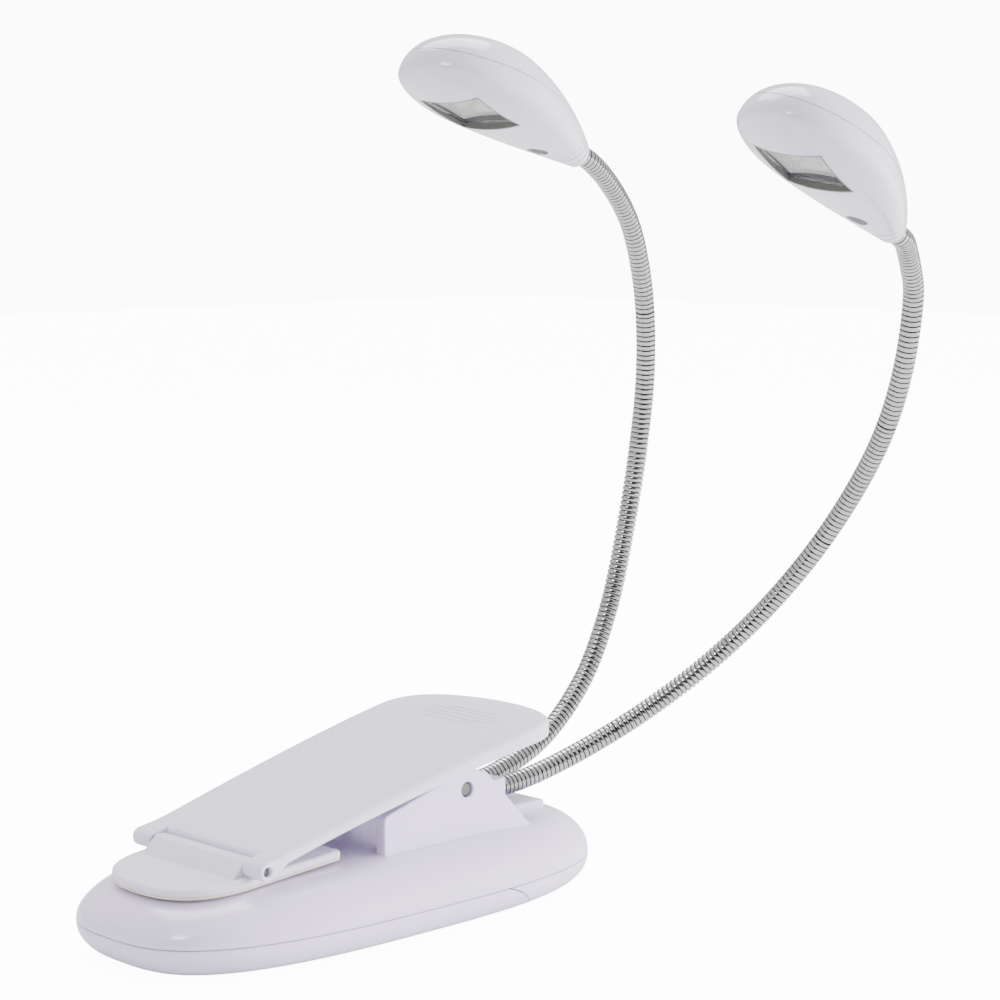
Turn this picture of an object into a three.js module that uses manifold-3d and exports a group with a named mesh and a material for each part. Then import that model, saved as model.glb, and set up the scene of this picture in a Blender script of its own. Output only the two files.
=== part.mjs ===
// Clip-on reading lamp: an oval battery base with a spring clip, two goosenecks and two LED heads.
// Millimetres, +Z up. The origin is the middle of the underside; -X is the jaw end, +X the neck end.
import * as THREE from "three";
import { mergeVertices } from "three/addons/utils/BufferGeometryUtils.js";
import Module from "manifold-3d";

const wasm = await Module();
wasm.setup();

// ---- driving dimensions -------------------------------------------------------------------
const gap = 0.3; // air between neighbouring pieces
const runClear = 0.15; // radial clearance of a pin in the part that turns on it

const cellRadius = 5.25; // AAA cells
const cellLength = 44.5;
const cellGap = 0.4; // between two cells
const cellPitch = 2 * cellRadius + cellGap;
const cellFront = 2; // X of the cells' front ends
const cellCount = 3;
const springLength = 3;
const wireRadius = 0.6;
const wireX = 29.2; // where the wires rise into the neck clamp

const baseWall = 2;
const baseFloor = 1.8;
const headroom = 1.3; // over the cells and the wires
const tailRoom = 8.5; // behind the contact springs
const sideRoom = 11.65; // beside the cells
const baseHeight = baseFloor + 2 * cellRadius + 2 * wireRadius + headroom + baseWall;
const baseHalfLength = cellFront + cellLength + springLength + tailRoom;
const baseHalfWidth = (cellCount / 2) * cellPitch + sideRoom;
const basePower = 2.9; // roundness of the plan outline: 2 is an ellipse
const partingHeight = 0.4 * baseHeight; // seam between the two base shells
const topShoulder = 0.58 * baseHeight; // how far the top edge rolls inwards
const bottomShoulder = 8.5;
const crownPeak = 12; // X of the highest part of the crowned top
const crownReach = 60;
const crownDrop = 3;

const doorSeamTop = 20; // X of the battery door's front edge at the parting line
const doorSeamLean = 9.5; // how much further back that edge is at the underside
const screwHeadRadius = 2.3;
const screwShankRadius = 1.1;

const pivotX = 15.7; // clip pivot
const pivotZ = baseHeight + 9.3;
const pivotRadius = 1.4;
const earOuter = 19.5; // outer face of the bracket ears
const earThickness = 2.6;
const earFront = -6.4;
const earRear = 33.3;
const earFrontHeight = baseHeight + 7.4;
const earCrest = 4.1; // height of the ear above the pivot

const leverFront = -38.2;
const leverRear = 46;
const leverHalfFront = 20;
const leverHalfRear = 22.2;
const leverLevel = baseHeight + 13.2; // height of the lever's top near the middle of the base
const leverPlate = 1.7;
const lugInner = 13.4;
const lugThickness = 2.6;
const rimWall = 1.8;

const jawPinX = -35.7; // hinge of the jaw pad, at the lever's front end
const jawPinZ = baseHeight + 2;
const jawPinRadius = 0.8;
const knuckleInner = 14.4;
const knuckleRadius = 2.1;
const padFront = -51.5;
const padRear = -14.6;
const padHalfWidth = 16.4;
const padThickness = 2;

const neckRadius = 2.15;
const neckSpread = 3.5; // each neck leaves the base this far from the middle
const neckExitZ = baseHeight + 3.3;
const neckStart = 31; // X of the necks' blind ends in the clamp block
const clampFront = 26.5;
const clampRear = 37.6;
const clampHalfWidth = 8;
const clampTop = baseHeight + 6.4;
const saddleRear = 47;
const saddleTop = baseHeight + 0.7;

const headLength = 50;
const headHalfWidth = 14.5;
const headTop = 11;
const headBottom = 4.9;
const headWall = 1.4;
const headWidest = 0.62; // where along the head it is widest
const headTail = neckRadius + gap + 0.45; // radius of the round tail end, just over the neck's
const headSeam = 0.29 * headTop; // height of the seam between the two head shells
const collarLength = 0.132 * headLength;
const neckInHead = 5; // how far a neck reaches into its head
const lensFront = 0.8 * headLength;
const lensBack = 0.532 * headLength;
const lensHalfWidth = 0.53 * headHalfWidth;
const lensThickness = 1.2;
const lensFace = -0.67 * headBottom; // outer face of the lens
const lensLedge = 0.8;
const ledRadius = 0.3 * lensHalfWidth;
const ledPitch = 0.83 * lensHalfWidth;
const boardThickness = 1;
const reflectorDepth = 2.6;
const buttonAt = 0.42 * headLength;
const buttonLong = 0.084 * headLength;
const buttonWide = 0.22 * headHalfWidth;
const buttonTravel = 0.8;
const headScrewAt = 0.24 * headLength;

// ---- finishes -----------------------------------------------------------------------------
const finish = (color, roughness, metalness = 0) =>
  new THREE.MeshStandardMaterial({ color, roughness, metalness });
const whiteGloss = () => finish(0xe6e2ee, 0.25);
const whiteSatin = () => finish(0xdedae4, 0.5);
const steel = () => finish(0xb4b6b8, 0.25, 1);
const brass = () => finish(0xc9a85a, 0.35, 1);
const darkZinc = () => finish(0x6f716f, 0.4, 1);

// ---- solids -------------------------------------------------------------------------------
// A closed geometry as a manifold-3d solid.
function solid(geometry) {
  const bare = geometry.index ? geometry.toNonIndexed() : geometry.clone();
  for (const name of Object.keys(bare.attributes)) {
    if (name !== "position") bare.deleteAttribute(name);
  }
  const merged = mergeVertices(bare, 1e-4);
  return new wasm.Manifold(
    new wasm.Mesh({
      numProp: 3,
      vertProperties: new Float32Array(merged.attributes.position.array),
      triVerts: new Uint32Array(merged.index.array),
    }),
  );
}

function geometryOf(body) {
  const { vertProperties, triVerts } = body.getMesh();
  const geometry = new THREE.BufferGeometry();
  geometry.setAttribute("position", new THREE.BufferAttribute(vertProperties, 3));
  geometry.setIndex(new THREE.BufferAttribute(triVerts, 1));
  return geometry;
}

const lamp = new THREE.Group();
lamp.name = "clip_on_reading_lamp";

function add(name, shape, material, parent = lamp) {
  const geometry = shape.isBufferGeometry ? shape : geometryOf(shape);
  geometry.computeVertexNormals();
  const mesh = new THREE.Mesh(geometry, material);
  mesh.name = name;
  parent.add(mesh);
  return mesh;
}

function block(x0, x1, y0, y1, z0, z1) {
  const geometry = new THREE.BoxGeometry(x1 - x0, y1 - y0, z1 - z0);
  geometry.translate((x0 + x1) / 2, (y0 + y1) / 2, (z0 + z1) / 2);
  return solid(geometry);
}

// A round bar between two places along one axis, centred on the point (a, b) of the other two.
function bar(axis, radius, from, to, a, b, sides = 20) {
  const geometry = new THREE.CylinderGeometry(radius, radius, to - from, sides);
  const middle = (from + to) / 2;
  if (axis === "x") geometry.rotateZ(Math.PI / 2).translate(middle, a, b);
  if (axis === "y") geometry.translate(a, middle, b);
  if (axis === "z") geometry.rotateX(Math.PI / 2).translate(a, b, middle);
  return solid(geometry);
}

// Moves every point of a geometry by a rule.
function reshape(geometry, rule) {
  const position = geometry.attributes.position;
  const point = new THREE.Vector3();
  for (let i = 0; i < position.count; i += 1) {
    rule(point.fromBufferAttribute(position, i));
    position.setXYZ(i, point.x, point.y, point.z);
  }
  return geometry;
}

// A lathe turned about Z from [radius, height] rows that start and end on the axis, going up.
function turned(rows, sides) {
  const points = rows.map(([radius, height]) => new THREE.Vector2(radius, height));
  return new THREE.LatheGeometry(points, sides).rotateX(Math.PI / 2);
}

// An outline drawn in X and Z, extruded along Y between two places.
function sidePlate(shape, y0, y1, steps = 8) {
  const geometry = new THREE.ExtrudeGeometry(shape, {
    depth: y1 - y0,
    bevelEnabled: false,
    curveSegments: steps,
  });
  return solid(geometry.rotateX(Math.PI / 2).translate(0, y1, 0));
}

// ---- base ---------------------------------------------------------------------------------
const crown = (x) => baseHeight - crownDrop * ((x - crownPeak) / crownReach) ** 2;
const power = (value) => Math.sign(value) * Math.abs(value) ** (2 / basePower);

// An oval puck: rows of [inset from the outline, height], bottom to top, closed in the middle.
function puck(rows) {
  const capRings = [0.66, 0.33, 0];
  const ring = ([inset, height]) => [baseHalfLength - inset, height];
  const first = rows[0];
  const last = rows[rows.length - 1];
  const cap = ([inset, height]) => (share) => [(baseHalfLength - inset) * share, height];
  const profile = [
    ...capRings.map(cap(first)).reverse(),
    ...rows.map(ring),
    ...capRings.map(cap(last)),
  ];
  const edge = Math.min(baseHalfLength - first[0], baseHalfLength - last[0]);
  const sides = 48;
  return reshape(turned(profile, sides), (p) => {
    const reach = Math.hypot(p.x, p.y);
    if (reach < 1e-6) return;
    const inset = baseHalfLength - Math.max(reach, edge);
    const share = Math.min(reach / edge, 1);
    const cosine = p.x / reach;
    const sine = p.y / reach;
    p.x = reach * power(cosine);
    p.y = (baseHalfWidth - inset) * share * power(sine);
  });
}

// Rows of a rounded shoulder, from the seam to the flat.
function shoulder(inset0, z0, roll, z1, steps) {
  return Array.from({ length: steps + 1 }, (_, i) => {
    const angle = (i / steps) * (Math.PI / 2);
    return [inset0 + roll * (1 - Math.cos(angle)), z0 + (z1 - z0) * Math.sin(angle)];
  });
}

function crowned(geometry, seat) {
  return reshape(geometry, (p) => {
    const rise = (crown(p.x) - seat) / (baseHeight - seat);
    if (p.z > seat) p.z = seat + (p.z - seat) * rise;
  });
}

const topSeam = partingHeight + gap / 2;
const bottomSeam = partingHeight - gap / 2;

function topPuck(inset, ceiling) {
  const rows = shoulder(inset, topSeam, topShoulder - inset / 2, ceiling, 5);
  return solid(crowned(puck(rows), topSeam));
}

function bottomPuck(inset, floor) {
  const rows = shoulder(inset, bottomSeam, bottomShoulder - inset / 2, floor, 4);
  return solid(puck(rows.reverse()));
}

const screwPlaces = [
  [-44, -9],
  [-44, 9],
  [-8, -16.5],
  [-8, 16.5],
];
const bossRadius = 3.2;
const headSeat = 2.9; // top of the counterbore for a screw head
const screwTop = 12;

function earShape() {
  const shape = new THREE.Shape();
  const corner = 1.2;
  shape.moveTo(earFront, partingHeight + 6);
  shape.lineTo(earFront, earFrontHeight - corner);
  shape.quadraticCurveTo(earFront, earFrontHeight, earFront + corner, earFrontHeight + 0.25);
  shape.lineTo(pivotX - 2.2, pivotZ + earCrest - 0.5);
  shape.quadraticCurveTo(pivotX + 2.2, pivotZ + earCrest + 0.2, pivotX + 5.6, pivotZ + 2.6);
  shape.lineTo(earRear, crown(earRear) - 0.2);
  shape.lineTo(earRear - 1.5, partingHeight + 6);
  return shape;
}

function baseTopShell() {
  const cavity = topPuck(baseWall, baseHeight - baseWall);
  const lip = block(-80, 80, -80, 80, 0, topSeam);
  let shell = topPuck(0, baseHeight).subtract(cavity).subtract(lip);
  const innerFace = earOuter - earThickness;
  for (const side of [-1, 1]) {
    const edges = [side * innerFace, side * earOuter].sort((a, b) => a - b);
    const ear = sidePlate(earShape(), edges[0], edges[1]);
    shell = shell.add(ear.subtract(cavity));
  }
  const saddle = block(clampRear + 0.6, saddleRear, -10, 10, crown(saddleRear) - 1, saddleTop);
  shell = shell.add(saddle);
  for (const [x, y] of screwPlaces) {
    const boss = bar("z", bossRadius, topSeam, crown(x) - 1, x, y, 16);
    const pilot = bar("z", screwShankRadius + gap, 0, screwTop + gap, x, y, 12);
    shell = shell.add(boss).subtract(pilot);
  }
  shell = shell.subtract(bar("y", pivotRadius + runClear, -40, 40, pivotX, pivotZ, 24));
  for (const side of [-1, 1]) {
    const hole = bar("z", wireRadius + 1.4, 12, 20, wireX, side * neckSpread, 16);
    shell = shell.subtract(hole);
  }
  return shell;
}

// The battery door takes the rear of the lower shell, behind a seam that curves back and down.
function doorCutter(spare) {
  const top = doorSeamTop - spare;
  const low = doorSeamTop + doorSeamLean - spare;
  const shape = new THREE.Shape();
  shape.moveTo(top - 1, partingHeight + 1);
  shape.lineTo(top, partingHeight - spare);
  shape.quadraticCurveTo(low - 2, partingHeight * 0.66 - spare, low, -1);
  shape.lineTo(baseHalfLength + 5, -1);
  shape.lineTo(baseHalfLength + 5, partingHeight + 1);
  return sidePlate(shape, -40, 40);
}

function lowerShell() {
  const cavity = bottomPuck(baseWall, baseFloor);
  const lid = block(-80, 80, -80, 80, bottomSeam, 30);
  return bottomPuck(0, 0).subtract(cavity).subtract(lid);
}

function baseBottomShell() {
  const ribFront = cellFront - 2.6;
  const rib = block(ribFront, ribFront + 1.4, -19, 19, baseFloor - 0.5, bottomSeam - 0.4);
  let shell = lowerShell().add(rib);
  for (const [x, y] of screwPlaces) {
    const boss = bar("z", bossRadius + 0.6, 0.5, bottomSeam - 0.3, x, y, 20);
    const hole = bar("z", screwShankRadius + gap, -1, 9, x, y, 12);
    const counterbore = bar("z", screwHeadRadius + gap, -1, headSeat, x, y, 20);
    shell = shell.add(boss).subtract(hole).subtract(counterbore);
  }
  return shell.subtract(doorCutter(gap));
}

function cellSolid(y) {
  const nose = 1.9;
  const rows = [
    [0, 0],
    [cellRadius - 0.4, 0],
    [cellRadius, 0.4],
    [cellRadius, cellLength - 1.6],
    [cellRadius - 0.5, cellLength - 1.1],
    [nose, cellLength - 1.1],
    [nose, cellLength],
    [0, cellLength],
  ];
  const geometry = turned(rows, 24).rotateY(-Math.PI / 2);
  return geometry.translate(cellFront + cellLength, y, cellHeight);
}

const cellHeight = baseFloor + 0.35 + cellRadius;
const cellEnd = cellFront + cellLength;
const rearPlateX = cellEnd + springLength + 2 * gap;

class Coil extends THREE.Curve {
  constructor(radius, turns, pitch, taper = 0) {
    super();
    Object.assign(this, { radius, turns, pitch, taper });
  }
  getPoint(t, target = new THREE.Vector3()) {
    const angle = t * this.turns * 2 * Math.PI;
    const reach = this.radius - this.taper * t;
    return target.set(reach * Math.cos(angle), t * this.turns * this.pitch, reach * Math.sin(angle));
  }
}

function wireShape(radius, sides) {
  const shape = new THREE.Shape();
  for (let i = 0; i < sides; i += 1) {
    const angle = (i / sides) * 2 * Math.PI;
    const draw = i === 0 ? "moveTo" : "lineTo";
    shape[draw](radius * Math.cos(angle), radius * Math.sin(angle));
  }
  return shape;
}

function wireAlong(curve, radius, sides, steps) {
  return new THREE.ExtrudeGeometry(wireShape(radius, sides), {
    extrudePath: curve,
    steps,
    bevelEnabled: false,
  });
}

function contactSpring(y) {
  const wire = 0.35;
  const turns = 3;
  const curve = new Coil(2.3, turns, (springLength - 2 * wire) / turns, 0.8);
  const coil = wireAlong(curve, wire, 5, 10 * turns);
  coil.rotateZ(Math.PI / 2);
  return coil.translate(rearPlateX - gap - wire, y, cellHeight);
}

add("base_top_shell", baseTopShell(), whiteGloss());
add("base_bottom_shell", baseBottomShell(), whiteGloss());
add("battery_door", lowerShell().intersect(doorCutter(0)), whiteGloss());
for (let i = 0; i < cellCount; i += 1) {
  const y = (i - (cellCount - 1) / 2) * cellPitch;
  add(`battery_cell_${i + 1}`, cellSolid(y), finish(0x3f6b52, 0.35, 0.3));
  add(`contact_spring_${i + 1}`, contactSpring(y), steel());
}
const plateHalfWidth = cellPitch + 2.7;
const plateLow = cellHeight - 2.6;
const plateHigh = cellHeight + 2.6;
add(
  "contact_plate_front",
  block(cellFront - gap - 0.5, cellFront - gap, -plateHalfWidth, plateHalfWidth, plateLow, plateHigh),
  brass(),
);
add(
  "contact_plate_rear",
  block(rearPlateX, rearPlateX + 0.5, -plateHalfWidth, plateHalfWidth, plateLow, plateHigh),
  steel(),
);
screwPlaces.forEach(([x, y], i) => {
  const headTopZ = headSeat - gap;
  const rows = [
    [0, headTopZ - 1.6],
    [screwHeadRadius - 0.3, headTopZ - 1.6],
    [screwHeadRadius, headTopZ - 1.2],
    [screwHeadRadius, headTopZ],
    [screwShankRadius, headTopZ],
    [screwShankRadius, screwTop - 1.4],
    [0, screwTop],
  ];
  add(`base_screw_${i + 1}`, turned(rows, 16).translate(x, y, 0), darkZinc());
});

// ---- neck clamp and wires -----------------------------------------------------------------
function neckClamp() {
  const foot = baseHeight + 0.2;
  let body = block(clampFront, clampRear, -clampHalfWidth, clampHalfWidth, foot, clampTop);
  for (const side of [-1, 1]) {
    const y = side * neckSpread;
    body = body.subtract(bar("x", neckRadius + gap, neckStart - 3, clampRear + 1, y, neckExitZ, 24));
    body = body.subtract(bar("z", wireRadius + 0.45, foot - 1, neckExitZ, wireX, y, 12));
  }
  return body;
}
add("neck_clamp", neckClamp(), whiteSatin());

for (const [name, side] of [
  ["wire_a", 1],
  ["wire_b", -1],
]) {
  const y = side * neckSpread;
  const overCells = cellHeight + cellRadius + gap + wireRadius;
  const route = new THREE.CatmullRomCurve3(
    [
      new THREE.Vector3(-3, y + side * 2, cellHeight - 1),
      new THREE.Vector3(-3.2, y + side * 2, cellHeight + 3),
      new THREE.Vector3(0, y + side * 1.4, overCells + 0.02),
      new THREE.Vector3(12, y + side * 0.5, overCells + 0.05),
      new THREE.Vector3(wireX - 2.6, y, overCells + 0.1),
      new THREE.Vector3(wireX - 0.8, y, overCells + 0.4),
      new THREE.Vector3(wireX, y, overCells + 1.7),
      new THREE.Vector3(wireX, y, overCells + 3),
      new THREE.Vector3(wireX, y, neckExitZ - 0.8),
    ],
    false,
    "centripetal",
  );
  add(name, wireAlong(route, wireRadius, 8, 30), finish(side > 0 ? 0xa03030 : 0x222222, 0.5));
}

// ---- clip ---------------------------------------------------------------------------------
const leverTop = (x) => {
  const slope = leverLevel + 0.236 * (x - 2) - 0.0006 * (x - 2) ** 2;
  return slope - 0.006 * Math.max(0, x - 27) ** 2;
};
const leverRim = (x) => 1.7 + 1.7 * ((x - leverFront) / (leverRear - leverFront)) ** 2;

function leverHalf(x) {
  const share = THREE.MathUtils.smoothstep(x, leverFront, earRear);
  return THREE.MathUtils.lerp(leverHalfFront, leverHalfRear, share);
}

// Plan outline of the lever, pulled in by an inset.
function leverOutline(inset, front) {
  const shape = new THREE.Shape();
  const rear = leverRear - inset;
  const turn = rear - 15;
  const stations = 9;
  const side = (i) => {
    const x = THREE.MathUtils.lerp(front, turn, i / stations);
    return [x, leverHalf(x) - inset];
  };
  shape.moveTo(front, -side(0)[1]);
  for (let i = 1; i <= stations; i += 1) shape.lineTo(side(i)[0], -side(i)[1]);
  const [x, half] = side(stations);
  shape.bezierCurveTo(x + 9, -half, rear, -half * 0.55, rear, 0);
  shape.bezierCurveTo(rear, half * 0.55, x + 9, half, x, half);
  for (let i = stations - 1; i >= 0; i -= 1) shape.lineTo(side(i)[0], side(i)[1]);
  return shape;
}

// A plan outline carried upwards, cut to the space between two curves in X and Z.
function curvedPlate(outline, bottom, top) {
  const column = new THREE.ExtrudeGeometry(outline, {
    depth: 60,
    bevelEnabled: false,
    curveSegments: 7,
  });
  const side = new THREE.Shape();
  const steps = 16;
  const station = (i) => THREE.MathUtils.lerp(jawPinX - 8, leverRear + 2, i / steps);
  side.moveTo(station(0), bottom(station(0)));
  for (let i = 1; i <= steps; i += 1) side.lineTo(station(i), bottom(station(i)));
  for (let i = steps; i >= 0; i -= 1) side.lineTo(station(i), top(station(i)));
  return solid(column).intersect(sidePlate(side, -40, 40));
}

function lugShape() {
  const shape = new THREE.Shape();
  const reach = pivotRadius + 2.2;
  shape.absarc(pivotX, pivotZ, reach, Math.PI * 0.92, Math.PI * 2.08, false);
  shape.lineTo(pivotX + reach + 1, leverTop(pivotX + reach) - leverPlate + 0.5);
  shape.lineTo(pivotX - reach - 1, leverTop(pivotX - reach) - leverPlate + 0.5);
  return shape;
}

function knuckleShape() {
  const shape = new THREE.Shape();
  shape.absarc(jawPinX, jawPinZ, knuckleRadius, Math.PI * 0.6, Math.PI * 1.72, false);
  shape.lineTo(jawPinX + 6, leverTop(jawPinX + 6) - 0.8);
  shape.lineTo(jawPinX + 4, leverTop(jawPinX + 4) - 0.3);
  return shape;
}

function clipLever() {
  const rim = (x) => leverTop(x) - leverRim(x);
  const ceiling = (x) => leverTop(x) - leverPlate;
  const outer = curvedPlate(leverOutline(0, jawPinX + 3.4), rim, leverTop);
  const hollow = curvedPlate(leverOutline(rimWall, jawPinX - 5), (x) => rim(x) - 1, ceiling);
  let lever = outer.subtract(hollow);
  for (const side of [-1, 1]) {
    const lug = [side * lugInner, side * (lugInner + lugThickness)].sort((a, b) => a - b);
    lever = lever.add(sidePlate(lugShape(), lug[0], lug[1]));
    const knuckle = [side * knuckleInner, side * leverHalfFront].sort((a, b) => a - b);
    lever = lever.add(sidePlate(knuckleShape(), knuckle[0], knuckle[1]));
  }
  const pinHole = bar("y", pivotRadius + runClear, -40, 40, pivotX, pivotZ, 24);
  const jawHole = bar("y", jawPinRadius + runClear, -40, 40, jawPinX, jawPinZ, 16);
  return lever.subtract(pinHole).subtract(jawHole);
}

const padTilt = (2 * crownDrop * (crownPeak - (padFront + padRear) / 2)) / crownReach ** 2;
const padSeat = (x) => {
  const middle = (padFront + padRear) / 2;
  return crown(middle) + gap + padTilt * (x - middle);
};

function padOutline() {
  const shape = new THREE.Shape();
  const roundFrom = -36;
  const reach = roundFrom - padFront;
  shape.moveTo(padRear, -padHalfWidth + 0.8);
  shape.lineTo(padRear - 0.8, -padHalfWidth);
  const steps = 16;
  for (let i = 0; i <= steps; i += 1) {
    const angle = -Math.PI / 2 - (i / steps) * Math.PI;
    const cosine = Math.abs(Math.cos(angle)) ** 0.8;
    const sine = Math.sign(Math.sin(angle)) * Math.abs(Math.sin(angle)) ** 0.8;
    shape.lineTo(roundFrom - reach * cosine, padHalfWidth * sine);
  }
  shape.lineTo(padRear - 0.8, padHalfWidth);
  shape.lineTo(padRear, padHalfWidth - 0.8);
  return shape;
}

function jawPad() {
  const geometry = new THREE.ExtrudeGeometry(padOutline(), { depth: 1, bevelEnabled: false });
  reshape(geometry, (p) => {
    p.z = padSeat(p.x) + p.z * padThickness;
  });
  const bridge = new THREE.Shape();
  const reach = 1.7;
  bridge.moveTo(jawPinX + 2.6, padSeat(jawPinX + 2.6) + 1);
  bridge.lineTo(jawPinX + reach, jawPinZ);
  bridge.absarc(jawPinX, jawPinZ, reach, 0, Math.PI, false);
  bridge.lineTo(jawPinX - 4.4, padSeat(jawPinX - 4.4) + padThickness);
  bridge.lineTo(jawPinX - 4.4, padSeat(jawPinX - 4.4) + 1);
  const half = knuckleInner - gap;
  let pad = solid(geometry).add(sidePlate(bridge, -half, half));
  pad = pad.subtract(bar("y", jawPinRadius + runClear, -40, 40, jawPinX, jawPinZ, 16));
  for (const side of [-1, 1]) {
    const sweep = [side * half, side * 40].sort((a, b) => a - b);
    pad = pad.subtract(bar("y", knuckleRadius + gap, sweep[0], sweep[1], jawPinX, jawPinZ, 24));
  }
  return pad;
}

function clipSpring() {
  const wire = 0.5;
  const turns = 6;
  const pitch = 1.5;
  const radius = pivotRadius + 1.5;
  const span = turns * pitch;
  const points = [];
  const tail = (x, y, z) => points.push(new THREE.Vector3(x, y, z));
  tail(pivotX + 10, -span / 2, leverTop(pivotX + 10) - leverPlate - gap - wire - 0.1);
  tail(pivotX + 5, -span / 2, pivotZ + radius + 1.2);
  const steps = turns * 8;
  for (let i = 0; i <= steps; i += 1) {
    const angle = Math.PI / 2 - (i / steps) * turns * 2 * Math.PI - (i / steps) * Math.PI;
    const y = -span / 2 + (i / steps) * span;
    tail(pivotX + radius * Math.cos(angle), y, pivotZ + radius * Math.sin(angle));
  }
  tail(pivotX + 4, span / 2, pivotZ - radius - 1.6);
  tail(pivotX + 8.6, span / 2, crown(pivotX + 8) + gap + wire + 0.6);
  const curve = new THREE.CatmullRomCurve3(points, false, "centripetal");
  return wireAlong(curve, wire, 6, 76);
}

const pinEnd = earOuter - 0.5;
add("clip_pivot_pin", bar("y", pivotRadius, -pinEnd, pinEnd, pivotX, pivotZ, 20), darkZinc());
add("clip_spring", clipSpring(), steel());
add("clip_lever", clipLever(), whiteSatin());
add("jaw_pad", jawPad(), whiteSatin());
const jawPinEnd = leverHalfFront - 1;
add("jaw_pad_pin", bar("y", jawPinRadius, -jawPinEnd, jawPinEnd, jawPinX, jawPinZ, 14), darkZinc());

// ---- necks --------------------------------------------------------------------------------
// Points each neck runs through: X, Y and the height above where it leaves the base.
const neckRoutes = {
  a: [
    [neckStart, neckSpread, 0],
    [clampRear, neckSpread, 0],
    [46, 3.5, 1.2],
    [59.5, 3.3, 6.5],
    [72.6, 3.8, 17.6],
    [81.5, 4.5, 32.4],
    [87, 4.6, 49.9],
    [89.5, 3.4, 66.9],
    [89.2, 1, 83.9],
    [85, -2.4, 100.9],
    [76.8, -6.9, 114.6],
    [70.4, -9.6, 121],
    [61.9, -12.8, 126.7],
    [57.2, -14.4, 129.1],
    [53.5, -15.3, 130.8],
    [50.7, -15.5, 131.8],
  ],
  b: [
    [neckStart, -neckSpread, 0],
    [clampRear, -neckSpread, 0],
    [46, -4.2, 0.8],
    [57.7, -6.7, 4.2],
    [72.4, -13, 12],
    [83.8, -21.3, 22.1],
    [91.9, -30.7, 34.1],
    [96.6, -40.5, 47.3],
    [97.9, -50.5, 61.4],
    [95.6, -60.3, 75.6],
    [92.2, -67.5, 89.9],
    [88.7, -72, 104.3],
    [84.7, -74.2, 109.3],
    [80.9, -76.2, 112.5],
    [76.9, -78.3, 114.8],
    [74.2, -79.2, 115.7],
    [71.8, -79.5, 116.9],
  ],
};
const bends = [0.13, 0.29, 0.46, 0.63, 0.8]; // where each neck's bending joints are, along its length
const neckSides = 12;

// Frames carried along a curve without twist, at a place given by arc length.
function carrier(curve) {
  const count = 240;
  const length = curve.getLength();
  const frames = curve.computeFrenetFrames(count, false);
  return (distance) => {
    const share = THREE.MathUtils.clamp(distance / length, 0, 1);
    const index = Math.round(share * count);
    const tangent = curve.getTangentAt(share);
    const across = frames.normals[index].clone();
    across.addScaledVector(tangent, -across.dot(tangent)).normalize();
    const other = new THREE.Vector3().crossVectors(tangent, across);
    return { point: curve.getPointAt(share), tangent, across, other };
  };
}

// A length of neck with a ball at its far end and a hollow at its near end, bent along the curve.
function neckPiece(at, from, to, hollowStart, ballEnd) {
  const rows = [];
  const cup = neckRadius + gap;
  const rim = Math.sqrt(cup ** 2 - neckRadius ** 2);
  const steps = 3;
  if (hollowStart) {
    const open = Math.asin(neckRadius / cup);
    for (let i = 0; i < steps; i += 1) {
      const angle = (i / steps) * open;
      rows.push([cup * Math.sin(angle), from + cup * Math.cos(angle)]);
    }
    rows.push([neckRadius, from + rim]);
  } else {
    rows.push([0, from], [neckRadius, from]);
  }
  const first = rows[rows.length - 1][1];
  const pieces = Math.max(3, Math.round((to - first) / 5));
  for (let i = 1; i <= pieces; i += 1) {
    rows.push([neckRadius, first + ((to - first) * i) / pieces]);
  }
  if (ballEnd) {
    for (let i = 1; i <= steps; i += 1) {
      const angle = ((i / steps) * Math.PI) / 2;
      rows.push([i === steps ? 0 : neckRadius * Math.cos(angle), to + neckRadius * Math.sin(angle)]);
    }
  } else {
    rows.push([0, to]);
  }
  const start = at(from);
  const end = at(to);
  return reshape(turned(rows, neckSides), (p) => {
    // Beyond a joint's centre the piece runs straight, so that the ball and hollow stay round.
    const straightStart = hollowStart && p.z < first + 0.01;
    const straightEnd = ballEnd && p.z > to;
    const frame = straightStart ? start : straightEnd ? end : at(p.z);
    const over = straightStart ? p.z - from : straightEnd ? p.z - to : 0;
    const { x, y } = p;
    p.copy(frame.point).addScaledVector(frame.tangent, over);
    p.addScaledVector(frame.across, x).addScaledVector(frame.other, y);
  });
}

lamp.userData.joints = {};
const headFrames = {};
for (const [arm, route] of Object.entries(neckRoutes)) {
  const points = route.map(([x, y, rise]) => new THREE.Vector3(x, y, neckExitZ + rise));
  const curve = new THREE.CatmullRomCurve3(points, false, "centripetal");
  curve.arcLengthDivisions = 600;
  const at = carrier(curve);
  const length = curve.getLength();
  const stops = [0, ...bends.map((share) => share * length), length + neckInHead];
  // The last stretch runs straight into the head.
  const reach = (distance) => {
    const frame = at(distance);
    if (distance > length) frame.point.addScaledVector(frame.tangent, distance - length);
    return frame;
  };
  for (let i = 0; i < stops.length - 1; i += 1) {
    const last = i === stops.length - 2;
    const piece = neckPiece(reach, stops[i], stops[i + 1], i > 0, !last);
    add(`neck_${arm}_${i + 1}`, piece, steel());
  }
  const start = at(0).point;
  const middle = at(length * 0.5).point.sub(start);
  const end = at(length).point.sub(start);
  const nod = middle.cross(end).normalize();
  if (nod.y < 0) nod.negate();
  bends.forEach((share, i) => {
    const frame = at(share * length);
    const sway = new THREE.Vector3().crossVectors(frame.tangent, nod).normalize();
    const axis = i % 2 === 0 ? nod : sway;
    lamp.userData.joints[`neck_${arm}_${i + 2}`] = { at: frame.point.toArray(), axis: axis.toArray() };
  });
  lamp.userData.joints[`neck_${arm}_length`] = length;
  headFrames[arm] = at(length);
}

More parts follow.
